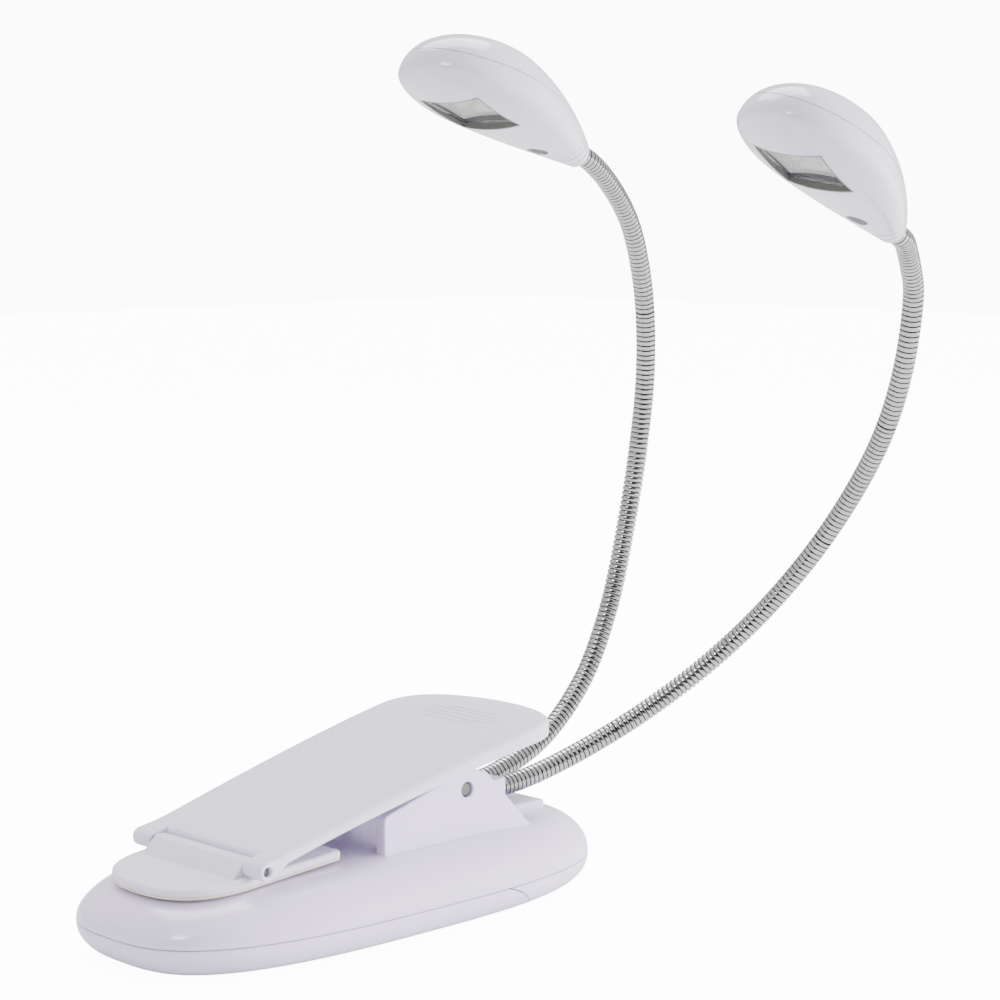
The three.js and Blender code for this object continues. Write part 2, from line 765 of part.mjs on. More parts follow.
// ---- heads --------------------------------------------------------------------------------
// Local frame of a head: +X from the neck to the tip, +Z to its back, origin at the neck's end.
// Reach of the egg-shaped body from its axis, for a side whose widest reach is full.
function headReach(full, share) {
  if (share > headWidest) {
    return full * Math.sqrt(Math.max(0, 1 - ((share - headWidest) / (1 - headWidest)) ** 2));
  }
  return full - (full - headTail) * ((headWidest - share) / headWidest) ** 1.55;
}

// The egg-shaped body from a place on its length to the tip, drawn in by an inset.
function egg(inset, from = 0, sides = 28) {
  const stations = [];
  const steps = 7;
  for (let i = 0; i <= steps; i += 1) stations.push(from + (headWidest - from) * (i / steps));
  for (let i = 1; i <= steps; i += 1) {
    const angle = ((i / steps) * Math.PI) / 2;
    stations.push(headWidest + (1 - headWidest) * Math.sin(angle));
  }
  const rows = stations.map((share) => [1, share]);
  rows.push([0, rows.pop()[1]]);
  rows.unshift([0, from]);
  return solid(reshape(turned(rows, sides), (p) => {
    const { x: lift, y: across, z: share } = p;
    const reach = (full) => Math.max(0.3, headReach(full, share) - inset);
    const up = lift > 0 ? headTop : headBottom;
    const along = share * (headLength - inset);
    p.set(along, -across * reach(headHalfWidth), lift * reach(up));
  }));
}

const big = 60;
const lensTop = lensFace + lensThickness;
const aroundLens = (margin, z0, z1) => {
  const half = lensHalfWidth + margin;
  return block(lensBack - margin, lensFront + margin, -half, half, z0, z1);
};

const headCavity = () => egg(headWall, collarLength / headLength);
const screwSeatZ = -2.2;

function headTopShell() {
  const cut = block(-big, big, -big, big, -big, headSeam + gap / 2);
  const tail = block(-big, collarLength + gap, -big, big, -big, big);
  const boss = bar("z", 2.2, -1.1, 6, headScrewAt, 0, 16);
  let shell = egg(0).subtract(headCavity()).subtract(cut).subtract(tail);
  shell = shell.add(boss.intersect(egg(headWall / 2)));
  shell = shell.subtract(bar("z", 0.8 + gap, -4, 3.2, headScrewAt, 0, 12));
  const well = solid(new THREE.CylinderGeometry(1, 1, 12, 24).rotateX(Math.PI / 2));
  const opening = well.scale([buttonLong + gap, buttonWide + gap, 1]).translate([buttonAt, 0, 12]);
  return shell.subtract(opening);
}

function headBottomShell() {
  const cut = block(-big, big, -big, big, headSeam - gap / 2, big);
  const tail = block(-big, collarLength + gap, -big, big, -big, big);
  let shell = egg(0).subtract(headCavity()).subtract(cut).subtract(tail);
  const boss = bar("z", 2.9, -6, -1.5, headScrewAt, 0, 16);
  shell = shell.add(boss.intersect(egg(headWall / 2)));
  shell = shell.subtract(bar("z", 1.9 + gap, -8, screwSeatZ, headScrewAt, 0, 16));
  shell = shell.subtract(bar("z", 0.8 + gap, -8, 1, headScrewAt, 0, 12));
  const frame = aroundLens(1.4, lensFace - 0.4, lensTop + gap + lensLedge);
  shell = shell.add(frame.intersect(egg(headWall / 2)));
  shell = shell.subtract(aroundLens(gap, -12, lensTop + gap));
  return shell.subtract(aroundLens(-lensLedge, -12, lensTop + 4));
}

function headCollar() {
  const cut = block(collarLength, big, -big, big, -big, big);
  const bore = bar("x", neckRadius + gap, -1, collarLength + 1, 0, 0, 24);
  return egg(0).subtract(cut).subtract(bore);
}

const reflectorLow = lensTop + lensLedge + 2 * gap;
const reflectorHigh = reflectorLow + reflectorDepth;
const ledX = (lensFront + lensBack) / 2;

function reflector() {
  const flange = 0.9;
  const outer = aroundLens(-0.3, reflectorLow, reflectorHigh);
  const bowl = new THREE.CylinderGeometry(1, 0.62, reflectorHigh - reflectorLow, 4, 1);
  bowl.rotateY(Math.PI / 4).rotateX(-Math.PI / 2);
  const across = (lensFront - lensBack) / 2 - flange;
  const hollow = solid(bowl).scale([across * Math.SQRT2, (lensHalfWidth - flange) * Math.SQRT2, 1]);
  let body = outer.subtract(hollow.translate([ledX, 0, (reflectorLow + reflectorHigh) / 2 - flange]));
  for (const side of [-1, 1]) {
    const y = (side * ledPitch) / 2;
    body = body.subtract(bar("z", ledRadius + gap, -20, 20, ledX, y, 16));
  }
  return body;
}

const boardLow = reflectorHigh + gap;

function led() {
  const foot = boardLow - gap;
  const tip = lensTop + 0.5;
  const rows = [
    [0, tip],
    [ledRadius * 0.6, tip + 0.4],
    [ledRadius * 0.95, tip + 1.3],
    [ledRadius, tip + 2.2],
    [ledRadius, foot],
    [0, foot],
  ];
  return turned(rows, 14);
}

function headButton() {
  const foot = boardLow + boardThickness + buttonTravel + 2 * gap;
  const rim = headReach(headTop, buttonAt / headLength) - 0.5;
  const rows = [
    [0, foot],
    [1.25, foot],
    [1.25, foot + 0.7],
    [1, foot + 0.7],
    [1, rim],
    [0.9, rim + 0.6],
    [0.5, rim + 0.95],
    [0, rim + 1.05],
  ];
  return reshape(turned(rows, 20), (p) => {
    p.x = buttonAt + p.x * buttonLong;
    p.y *= buttonWide;
  });
}

function headScrew() {
  const rows = [
    [0, screwSeatZ - gap - 1.1],
    [1.6, screwSeatZ - gap - 1.1],
    [1.9, screwSeatZ - gap - 0.8],
    [1.9, screwSeatZ - gap],
    [0.8, screwSeatZ - gap],
    [0.8, 2.2],
    [0, 2.9],
  ];
  return turned(rows, 14).translate(headScrewAt, 0, 0);
}

const headRoll = { a: 0, b: 0.16 };
for (const arm of ["a", "b"]) {
  const { point, tangent } = headFrames[arm];
  const up = new THREE.Vector3(0, 0, 1).addScaledVector(tangent, -tangent.z).normalize();
  const side = new THREE.Vector3().crossVectors(up, tangent);
  const head = new THREE.Group();
  head.name = `head_${arm}`;
  head.matrixAutoUpdate = false;
  head.matrix.makeBasis(tangent, side, up).setPosition(point);
  head.matrix.multiply(new THREE.Matrix4().makeRotationX(-headRoll[arm]));
  lamp.add(head);
  add(`head_${arm}_collar`, headCollar(), whiteGloss(), head);
  add(`head_${arm}_top_shell`, headTopShell(), whiteGloss(), head);
  add(`head_${arm}_bottom_shell`, headBottomShell(), whiteGloss(), head);
  add(`head_${arm}_lens`, aroundLens(0, lensFace, lensTop), finish(0xdfe8ea, 0.05), head);
  add(`head_${arm}_reflector`, reflector(), finish(0xc4c8cc, 0.15, 1), head);
  const boardHigh = boardLow + boardThickness;
  const board = block(headScrewAt + 3.2, lensFront - 1.6, -6.6, 6.6, boardLow, boardHigh);
  add(`head_${arm}_led_board`, board, finish(0x2f6b3a, 0.5), head);
  for (let i = 0; i < 2; i += 1) {
    const y = (i - 0.5) * ledPitch;
    add(`head_${arm}_led_${i + 1}`, led().translate(ledX, y, 0), finish(0xfff6dc, 0.2), head);
  }
  add(`head_${arm}_button`, headButton(), whiteSatin(), head);
  add(`head_${arm}_screw`, headScrew(), darkZinc(), head);
  lamp.userData.joints[`head_${arm}_button`] = {
    at: new THREE.Vector3(buttonAt, 0, 10).applyMatrix4(head.matrix).toArray(),
    axis: new THREE.Vector3(0, 0, -1).transformDirection(head.matrix).toArray(),
  };
}

export default lamp;
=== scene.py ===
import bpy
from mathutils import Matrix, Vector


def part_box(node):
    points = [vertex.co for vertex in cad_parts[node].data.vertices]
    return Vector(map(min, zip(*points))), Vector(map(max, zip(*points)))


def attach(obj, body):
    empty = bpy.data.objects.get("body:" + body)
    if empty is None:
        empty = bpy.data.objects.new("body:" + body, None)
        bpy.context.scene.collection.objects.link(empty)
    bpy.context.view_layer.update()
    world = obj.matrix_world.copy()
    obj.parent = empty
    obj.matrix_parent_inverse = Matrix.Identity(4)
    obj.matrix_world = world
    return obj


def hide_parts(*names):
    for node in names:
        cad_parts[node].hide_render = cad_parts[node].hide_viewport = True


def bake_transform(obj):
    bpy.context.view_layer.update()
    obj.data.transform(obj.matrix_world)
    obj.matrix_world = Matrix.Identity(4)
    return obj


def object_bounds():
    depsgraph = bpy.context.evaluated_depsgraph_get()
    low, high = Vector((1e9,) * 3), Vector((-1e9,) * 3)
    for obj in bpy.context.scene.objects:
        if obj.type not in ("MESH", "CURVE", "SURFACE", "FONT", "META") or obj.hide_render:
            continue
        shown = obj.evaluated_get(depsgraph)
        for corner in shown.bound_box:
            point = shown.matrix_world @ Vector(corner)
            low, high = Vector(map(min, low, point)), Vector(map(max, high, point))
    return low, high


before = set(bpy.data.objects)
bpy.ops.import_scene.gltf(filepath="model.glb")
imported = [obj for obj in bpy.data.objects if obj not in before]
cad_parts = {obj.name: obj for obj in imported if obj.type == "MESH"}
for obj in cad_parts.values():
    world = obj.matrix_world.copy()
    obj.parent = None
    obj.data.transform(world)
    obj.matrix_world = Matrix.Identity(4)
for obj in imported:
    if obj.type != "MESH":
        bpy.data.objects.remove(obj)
cad_box = [list(corner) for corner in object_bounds()]

import math

import bmesh
import bpy
import numpy as np
from mathutils import Matrix, Vector

scene = bpy.context.scene

# ---- Camera and studio ----------------------------------------------------------------------
# A long lens stands at the jaw end on the near side and looks slightly down on the lamp.
# A small light hangs over the left shoulder, a wide one stands low on the right and one overhead.
aim = Vector((0.02807, -0.01599, 0.08284))
camera_turn = math.radians(-44.16)
camera_rise = math.radians(6.8)
camera_distance = 0.52169
backwards = Vector((
    math.sin(camera_turn) * math.cos(camera_rise),
    -math.cos(camera_turn) * math.cos(camera_rise),
    math.sin(camera_rise),
))
camera_data = bpy.data.cameras.new("camera")
camera_data.lens = 93.6
camera_data.sensor_width = 36
camera = bpy.data.objects.new("camera", camera_data)
camera.location = aim + backwards * camera_distance
camera.rotation_euler = backwards.to_track_quat("Z", "Y").to_euler()
scene.collection.objects.link(camera)
scene.camera = camera


def soft_light(name, place, width, height, power, in_gloss=True):
    data = bpy.data.lights.new(name, "AREA")
    data.shape = "RECTANGLE"
    data.size = width
    data.size_y = height
    data.energy = power
    light = bpy.data.objects.new(name, data)
    light.location = Vector(place)
    light.rotation_euler = (light.location - aim).to_track_quat("Z", "Y").to_euler()
    light.visible_glossy = in_gloss
    scene.collection.objects.link(light)


soft_light("left_light", (-0.8, -0.3, 0.75), 0.26, 0.26, 4.5)
soft_light("right_light", (0.75, -0.75, 0.14), 0.8, 0.5, 38.0, in_gloss=False)
soft_light("top_light", (0.25, 0.35, 0.95), 0.8, 0.6, 11.0)

# Round the lamp the room is white, and greyer on the side that the camera looks from.
world = bpy.data.worlds.new("studio")
world.use_nodes = True
scene.world = world
air = world.node_tree.nodes
air_links = world.node_tree.links
room_place = air.new("ShaderNodeTexCoord")
room_side = air.new("ShaderNodeVectorMath")
room_side.operation = "DOT_PRODUCT"
room_side.inputs[1].default_value = (backwards.x, backwards.y, 0)
room_ramp = air.new("ShaderNodeValToRGB")
room_ramp.color_ramp.elements[0].position = 0.62
room_ramp.color_ramp.elements[0].color = (1.0, 1.0, 1.0, 1)
room_ramp.color_ramp.elements[1].position = 0.82
room_ramp.color_ramp.elements[1].color = (0.05, 0.05, 0.055, 1)
air_links.new(room_place.outputs["Generated"], room_side.inputs[0])
air_links.new(room_side.outputs["Value"], room_ramp.inputs["Fac"])
air_links.new(room_ramp.outputs["Color"], air["Background"].inputs["Color"])
air["Background"].inputs["Strength"].default_value = 1.35
backdrop = air.new("ShaderNodeBackground")
backdrop.inputs["Strength"].default_value = 14
sight = air.new("ShaderNodeLightPath")
either = air.new("ShaderNodeMixShader")
air_links.new(sight.outputs["Is Camera Ray"], either.inputs["Fac"])
air_links.new(air["Background"].outputs["Background"], either.inputs[1])
air_links.new(backdrop.outputs["Background"], either.inputs[2])
air_links.new(either.outputs["Shader"], air["World Output"].inputs["Surface"])


# ---- Floor ----------------------------------------------------------------------------------
# One sweep of white paper under the lamp, matt, with the faintest fibre in it.
# It lies just under the lowest point of the base.
MM = 0.001


def new_material(name):
    material = bpy.data.materials.new(name)
    material.use_nodes = True
    return material, material.node_tree.nodes, material.node_tree.links


def fit_group(links_nodes, group, values):
    holder = links_nodes.new("ShaderNodeGroup")
    holder.node_tree = group
    for name, value in values.items():
        holder.inputs[name].default_value = value
    return holder


def start_group(name, inputs, outputs):
    group = bpy.data.node_groups.new(name, "ShaderNodeTree")
    for label, kind, value in inputs:
        socket = group.interface.new_socket(label, in_out="INPUT", socket_type=kind)
        socket.default_value = value
    for label, kind in outputs:
        group.interface.new_socket(label, in_out="OUTPUT", socket_type=kind)
    entry = group.nodes.new("NodeGroupInput")
    leave = group.nodes.new("NodeGroupOutput")
    return group, entry, leave


def build_surface_group():
    """Even patches, a fine grain and settled dust, for every moulded or painted surface."""
    group, entry, leave = start_group(
        "surface_detail",
        [("Patch Scale", "NodeSocketFloat", 40.0), ("Grain Scale", "NodeSocketFloat", 900.0),
         ("Dust", "NodeSocketFloat", 0.2)],
        [("Patches", "NodeSocketFloat"), ("Grain", "NodeSocketFloat"), ("Dust", "NodeSocketFloat")],
    )
    nodes, links = group.nodes, group.links
    place = nodes.new("ShaderNodeTexCoord")
    patches = nodes.new("ShaderNodeTexNoise")
    patches.inputs["Detail"].default_value = 3
    grain = nodes.new("ShaderNodeTexNoise")
    grain.inputs["Detail"].default_value = 5
    grain.inputs["Roughness"].default_value = 0.65
    specks = nodes.new("ShaderNodeTexNoise")
    specks.inputs["Scale"].default_value = 260
    specks.inputs["Detail"].default_value = 4
    for noise in (patches, grain, specks):
        links.new(place.outputs["Object"], noise.inputs["Vector"])
    links.new(entry.outputs["Patch Scale"], patches.inputs["Scale"])
    links.new(entry.outputs["Grain Scale"], grain.inputs["Scale"])
    facing = nodes.new("ShaderNodeNewGeometry")
    upward = nodes.new("ShaderNodeSeparateXYZ")
    links.new(facing.outputs["Normal"], upward.inputs["Vector"])
    settle = nodes.new("ShaderNodeMapRange")
    settle.inputs["From Min"].default_value = 0.35
    links.new(upward.outputs["Z"], settle.inputs["Value"])
    sift = nodes.new("ShaderNodeMapRange")
    sift.inputs["From Min"].default_value = 0.45
    sift.inputs["From Max"].default_value = 0.75
    links.new(specks.outputs["Fac"], sift.inputs["Value"])
    both = nodes.new("ShaderNodeMath")
    both.operation = "MULTIPLY"
    links.new(settle.outputs["Result"], both.inputs[0])
    links.new(sift.outputs["Result"], both.inputs[1])
    amount = nodes.new("ShaderNodeMath")
    amount.operation = "MULTIPLY"
    links.new(both.outputs["Value"], amount.inputs[0])
    links.new(entry.outputs["Dust"], amount.inputs[1])
    links.new(patches.outputs["Fac"], leave.inputs["Patches"])
    links.new(grain.outputs["Fac"], leave.inputs["Grain"])
    links.new(amount.outputs["Value"], leave.inputs["Dust"])
    return group


surface_detail = build_surface_group()


def plain_finish(name, light, dark, rough, rough_spread=0.08, grain=0.02, grain_scale=900,
                 patch_scale=40, dust=0.15, metal=0.0, coat=0.0, coat_rough=0.1):
    """A material with patchy colour, uneven gloss, fine grain and a little dust."""
    material, nodes, links = new_material(name)
    shader = nodes["Principled BSDF"]
    shader.inputs["Metallic"].default_value = metal
    shader.inputs["Coat Weight"].default_value = coat
    shader.inputs["Coat Roughness"].default_value = coat_rough
    detail = fit_group(nodes, surface_detail,
                       {"Patch Scale": patch_scale, "Grain Scale": grain_scale, "Dust": dust})
    colour = nodes.new("ShaderNodeMix")
    colour.data_type = "RGBA"
    colour.inputs["A"].default_value = (*dark, 1)
    colour.inputs["B"].default_value = (*light, 1)
    links.new(detail.outputs["Patches"], colour.inputs["Factor"])
    dusty = nodes.new("ShaderNodeMix")
    dusty.data_type = "RGBA"
    dusty.inputs["B"].default_value = (0.62, 0.6, 0.6, 1)
    links.new(detail.outputs["Dust"], dusty.inputs["Factor"])
    links.new(colour.outputs["Result"], dusty.inputs["A"])
    links.new(dusty.outputs["Result"], shader.inputs["Base Color"])
    gloss = nodes.new("ShaderNodeMapRange")
    gloss.inputs["From Min"].default_value = 0.3
    gloss.inputs["From Max"].default_value = 0.7
    gloss.inputs["To Min"].default_value = rough - rough_spread / 2
    gloss.inputs["To Max"].default_value = rough + rough_spread / 2
    links.new(detail.outputs["Grain"], gloss.inputs["Value"])
    dull = nodes.new("ShaderNodeMath")
    dull.operation = "ADD"
    links.new(gloss.outputs["Result"], dull.inputs[0])
    links.new(detail.outputs["Dust"], dull.inputs[1])
    links.new(dull.outputs["Value"], shader.inputs["Roughness"])
    bump = nodes.new("ShaderNodeBump")
    bump.inputs["Strength"].default_value = grain
    bump.inputs["Distance"].default_value = 0.0002
    links.new(detail.outputs["Grain"], bump.inputs["Height"])
    links.new(bump.outputs["Normal"], shader.inputs["Normal"])
    return material


def piece_from(name, mesh, crease=35):
    """Turns a bmesh in millimetres into a smooth-shaded object with crisp edges."""
    bmesh.ops.recalc_face_normals(mesh, faces=mesh.faces)
    data = bpy.data.meshes.new(name)
    mesh.to_mesh(data)
    mesh.free()
    data.transform(Matrix.Scale(MM, 4))
    data.polygons.foreach_set("use_smooth", [True] * len(data.polygons))
    data.set_sharp_from_angle(angle=math.radians(crease))
    piece = bpy.data.objects.new(name, data)
    scene.collection.objects.link(piece)
    return piece


def paint(piece, material):
    piece.data.materials.clear()
    piece.data.materials.append(material)


floor_mesh = bmesh.new()
floor_reach = 2200
bmesh.ops.create_grid(floor_mesh, x_segments=8, y_segments=8, size=floor_reach)
floor = piece_from("floor", floor_mesh)
floor.location.z = cad_box[0][2] - 0.0002
white_paper = plain_finish("white_paper", (0.93, 0.93, 0.94), (0.91, 0.91, 0.92), 0.85, dust=0)
paper_nodes, paper_links = white_paper.node_tree.nodes, white_paper.node_tree.links
paper_shader = paper_nodes["Principled BSDF"]
paper_shader.inputs["Emission Color"].default_value = (1, 1, 1, 1)
paper_sight = paper_nodes.new("ShaderNodeLightPath")
paper_glow = paper_nodes.new("ShaderNodeMath")
paper_glow.operation = "MULTIPLY"
paper_glow.inputs[1].default_value = 12
paper_links.new(paper_sight.outputs["Is Camera Ray"], paper_glow.inputs[0])
paper_links.new(paper_glow.outputs["Value"], paper_shader.inputs["Emission Strength"])
paint(floor, white_paper)


# ---- Base, upper shell ----------------------------------------------------------------------
# An oval tray lid injected in glossy white ABS with a lilac cast, crowned along its length.
# Its broad shoulder rolls over to a fine parting line, and two screw-boss rows hold it down.
def skin(rings, fan=True):
    """A closed surface through rings of equal count, with its two ends closed."""
    mesh = bmesh.new()
    rows = [[mesh.verts.new(point) for point in ring] for ring in rings]
    count = len(rows[0])
    for low, high in zip(rows, rows[1:]):
        for i in range(count):
            j = (i + 1) % count
            mesh.faces.new((low[i], low[j], high[j], high[i]))
    for row in (rows[0], rows[-1]):
        if not fan:
            mesh.faces.new(row)
            continue
        middle = sum((v.co for v in row), Vector()) / count
        hub = mesh.verts.new(middle)
        for i in range(count):
            mesh.faces.new((row[i], row[(i + 1) % count], hub))
    return mesh


base_high = Vector(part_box("base_top_shell")[1]) / MM
base_half_length = base_high.x
base_half_width = base_high.y
base_power = 2.9
base_height = 16.8
base_wall = 2.0
parting = 6.72
parting_gap = 0.07
edge_break = 0.22
top_roll = 9.74
bottom_roll = 8.5
outline_count = 224


def crown(x):
    return base_height - 3 * ((x - 12) / 60) ** 2


def oval_ring(inset, height, share=1.0):
    """One ring of the base: the rounded oval, drawn in by an inset or scaled to the middle."""
    ring = []
    for i in range(outline_count):
        turn = 2 * math.pi * i / outline_count
        across = math.copysign(abs(math.cos(turn)) ** (2 / base_power), math.cos(turn))
        along = math.copysign(abs(math.sin(turn)) ** (2 / base_power), math.sin(turn))
        x = (base_half_length - inset) * share * across
        y = (base_half_width - inset) * share * along
        ring.append(Vector((x, y, height(x) if callable(height) else height)))
    return ring


def roll_rows(inset, low, high, roll, steps):
    """Insets and heights up a rounded shoulder from its edge to its flat."""
    rows = []
    for i in range(steps + 1):
        turn = i / steps * math.pi / 2
        rows.append((inset + roll * (1 - math.cos(turn)), low + (high - low) * math.sin(turn)))
    return rows


def upper_rings(inset, floor_height, ceiling):
    rise = lambda z: (lambda x: floor_height + (z - floor_height)
                      * (crown(x) - floor_height) / (base_height - floor_height))
    roll = top_roll - inset / 2
    rings = [oval_ring(i, rise(z)) for i, z in roll_rows(inset, floor_height, ceiling, roll, 18)]
    rings += [oval_ring(inset + top_roll - inset / 2, rise(ceiling), share)
              for share in (0.94, 0.86, 0.75, 0.6, 0.45, 0.3, 0.15, 0.05)]
    return rings


seam_top = parting + parting_gap
outer = upper_rings(0, seam_top + edge_break, base_height)
inner = upper_rings(base_wall, seam_top + edge_break, base_height - base_wall)
lip = [oval_ring(edge_break * 0.3, seam_top + edge_break * 0.3), oval_ring(edge_break, seam_top)]
lip_inside = [oval_ring(base_wall, seam_top)]
gloss_white = plain_finish("gloss_white_abs", (0.72, 0.64, 0.83), (0.69, 0.61, 0.80), 0.2, 0.06,
                           grain=0.012, grain_scale=1400, patch_scale=22, dust=0.05,
                           coat=0.35, coat_rough=0.08)
base_top = piece_from("base_upper_shell", skin(inner[::-1] + lip_inside + lip[::-1] + outer))
paint(base_top, gloss_white)
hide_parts("base_top_shell")
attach(base_top, "base")


# ---- Base, bracket ears ---------------------------------------------------------------------
# Two upright ears grow out of the upper shell and carry the clip's pivot pin between them.
# They are moulded with the shell; their edges are broken and the pin holes are reamed.
def slab(name, outline, near, far):
    """An outline in X and Z, carried across the lamp between two places."""
    rings = [[Vector((x, y, z)) for x, z in outline] for y in (near, far)]
    return piece_from(name, skin(rings, fan=False))


def soften(piece, width, segments=3):
    """Breaks every crisp edge of a piece with a small round."""
    step = piece.modifiers.new("edges", "BEVEL")
    step.width = width * MM
    step.segments = segments
    step.limit_method = "ANGLE"
    step.angle_limit = math.radians(35)
    step.harden_normals = False
    step.miter_outer = "MITER_ARC"
    return piece


def settle(piece):
    """Makes a piece's modifiers part of its mesh."""
    bpy.context.view_layer.update()
    graph = bpy.context.evaluated_depsgraph_get()
    shaped = bpy.data.meshes.new_from_object(piece.evaluated_get(graph))
    piece.modifiers.clear()
    piece.data = shaped
    shaped.polygons.foreach_set("use_smooth", [True] * len(shaped.polygons))
    shaped.set_sharp_from_angle(angle=math.radians(35))
    return piece


def carve(piece, tool, way="DIFFERENCE"):
    """Cuts a tool out of a piece, or keeps what they share, or joins them."""
    step = piece.modifiers.new("carve", "BOOLEAN")
    step.operation = way
    step.solver = "EXACT"
    step.object = tool
    settle(piece)
    bpy.data.objects.remove(tool)
    return piece


def rod(name, axis, radius, start, end, place, sides=48, chamfer=0.0):
    """A round bar along one axis; place is its centre on the other two."""
    rows = [(radius, start), (radius, end)]
    if chamfer:
        rows = [(radius - chamfer, start), (radius, start + chamfer),
                (radius, end - chamfer), (radius - chamfer, end)]
    rings = []
    for reach, along in rows:
        ring = []
        for i in range(sides):
            turn = 2 * math.pi * i / sides
            a = place[0] + reach * math.cos(turn)
            b = place[1] + reach * math.sin(turn)
            ring.append(Vector({"x": (along, a, b), "y": (a, along, b), "z": (a, b, along)}[axis]))
        rings.append(ring)
    return piece_from(name, skin(rings))


def arc(centre, radius, start, end, steps):
    return [(centre[0] + radius * math.cos(math.radians(start + (end - start) * i / steps)),
             centre[1] + radius * math.sin(math.radians(start + (end - start) * i / steps)))
            for i in range(steps + 1)]


def bow(start, control, end, steps):
    """Points after the first along a curve pulled towards a control point."""
    points = []
    for i in range(1, steps + 1):
        t = i / steps
        points.append(tuple((1 - t) ** 2 * a + 2 * t * (1 - t) * b + t * t * c
                            for a, b, c in zip(start, control, end)))
    return points


pin_low, pin_high = (Vector(corner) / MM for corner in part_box("clip_pivot_pin"))
pivot_x = (pin_low.x + pin_high.x) / 2
pivot_z = (pin_low.z + pin_high.z) / 2
pivot_radius = (pin_high.z - pin_low.z) / 2
ear_outer = pin_high.y + 0.5
ear_thickness = 2.6
ear_front = -6.4
ear_front_top = 24.2
ear_rear = 33.3
ear_outline = [(ear_front, parting + 5), (ear_front, ear_front_top - 1.2)]
ear_outline += bow(ear_outline[-1], (ear_front, ear_front_top), (ear_front + 1.2, ear_front_top + 0.25), 5)
crest = (pivot_x - 2.2, pivot_z + 3.6)
ear_outline.append(crest)
ear_outline += bow(crest, (pivot_x + 2.2, pivot_z + 4.3), (pivot_x + 5.6, pivot_z + 2.6), 8)
ear_outline += [(ear_rear, crown(ear_rear) - 0.2), (ear_rear - 1.5, parting + 5)]
for side, label in ((-1, "near"), (1, "far")):
    faces = sorted((side * (ear_outer - ear_thickness), side * ear_outer))
    ear = slab("base_ear_" + label, ear_outline, *faces)
    carve(ear, rod("pin_hole", "y", pivot_radius + 0.15, -30, 30, (pivot_x, pivot_z)))
    soften(ear, 0.35)
    paint(ear, gloss_white)
    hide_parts("base_top_shell")
    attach(ear, "base")


# ---- Base, saddle behind the clip -----------------------------------------------------------
# A low block on the upper shell behind the necks, moulded in, that they rest over.
# Its top is flat and its edges are rounded like the rest of the shell.
saddle_outline = [(38.2, 13), (38.2, 17.5), (47, 17.5), (47, 13)]
saddle = slab("base_saddle", saddle_outline, -10, 10)
soften(saddle, 0.6, 4)
paint(saddle, gloss_white)
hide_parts("base_top_shell")
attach(saddle, "base")


# ---- Base, lower shell and battery door -----------------------------------------------------
# The lower tray is the same glossy ABS and takes the four screws from below.
# Its rear slides off as the battery door, along a seam that curves back and down.
def lower_rings(inset, ceiling, floor_height):
    rows = roll_rows(inset, ceiling, floor_height, bottom_roll - inset / 2, 14)
    rings = [oval_ring(i, z) for i, z in rows]
    last = rows[-1][0]
    rings += [oval_ring(last, floor_height, share) for share in (0.8, 0.5, 0.2)]
    return rings


seam_low = parting - parting_gap
under = lower_rings(0, seam_low - edge_break, 0)
within = lower_rings(base_wall, seam_low - edge_break, 1.8)
brim = [oval_ring(edge_break * 0.3, seam_low - edge_break * 0.3), oval_ring(edge_break, seam_low)]
brim_inside = [oval_ring(base_wall, seam_low)]


def lower_tray(name):
    return piece_from(name, skin(within[::-1] + brim_inside + brim[::-1] + under))


def door_tool(spare):
    """Everything behind the door's seam, with a little air to spare."""
    top = 20 - spare
    low = 29.5 - spare
    seam = [(top - 1, parting + 1), (top, parting - spare)]
    seam += bow(seam[-1], (low - 2, parting * 0.66 - spare), (low, -1), 10)
    return slab("door_tool", seam + [(70, -1), (70, parting + 1)], -40, 40)


def fuse(name, parts):
    """Several loose solids as one object."""
    mesh = bmesh.new()
    for part in parts:
        mesh.from_mesh(part.data)
        bpy.data.objects.remove(part)
    data = bpy.data.meshes.new(name)
    mesh.to_mesh(data)
    mesh.free()
    whole = bpy.data.objects.new(name, data)
    scene.collection.objects.link(whole)
    return whole


screw_places = []
for i in range(1, 5):
    low, high = (Vector(corner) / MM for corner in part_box(f"base_screw_{i}"))
    screw_places.append(((low.x + high.x) / 2, (low.y + high.y) / 2))
tray = lower_tray("base_lower_shell")
carve(tray, fuse("bosses", [rod("boss", "z", 3.8, 0.5, 6.2, p) for p in screw_places]), "UNION")
carve(tray, fuse("bores", [rod("bore", "z", 2.6, -1, 2.9, p) for p in screw_places]))
carve(tray, fuse("holes", [rod("hole", "z", 1.4, -2, 9, p, 24) for p in screw_places]))
carve(tray, door_tool(0.16))
paint(tray, gloss_white)
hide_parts("base_bottom_shell")
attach(tray, "base")

door = lower_tray("battery_door_shell")
carve(door, door_tool(0), "INTERSECT")
paint(door, gloss_white)
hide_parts("battery_door")
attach(door, "door")


# ---- Cells, contacts and base screws --------------------------------------------------------
# Three small cells lie side by side between sprung steel and brass contacts.
# Four zinc-plated screws close the base from below.
def dress(node, material):
    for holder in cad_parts[node].material_slots:
        holder.material = material


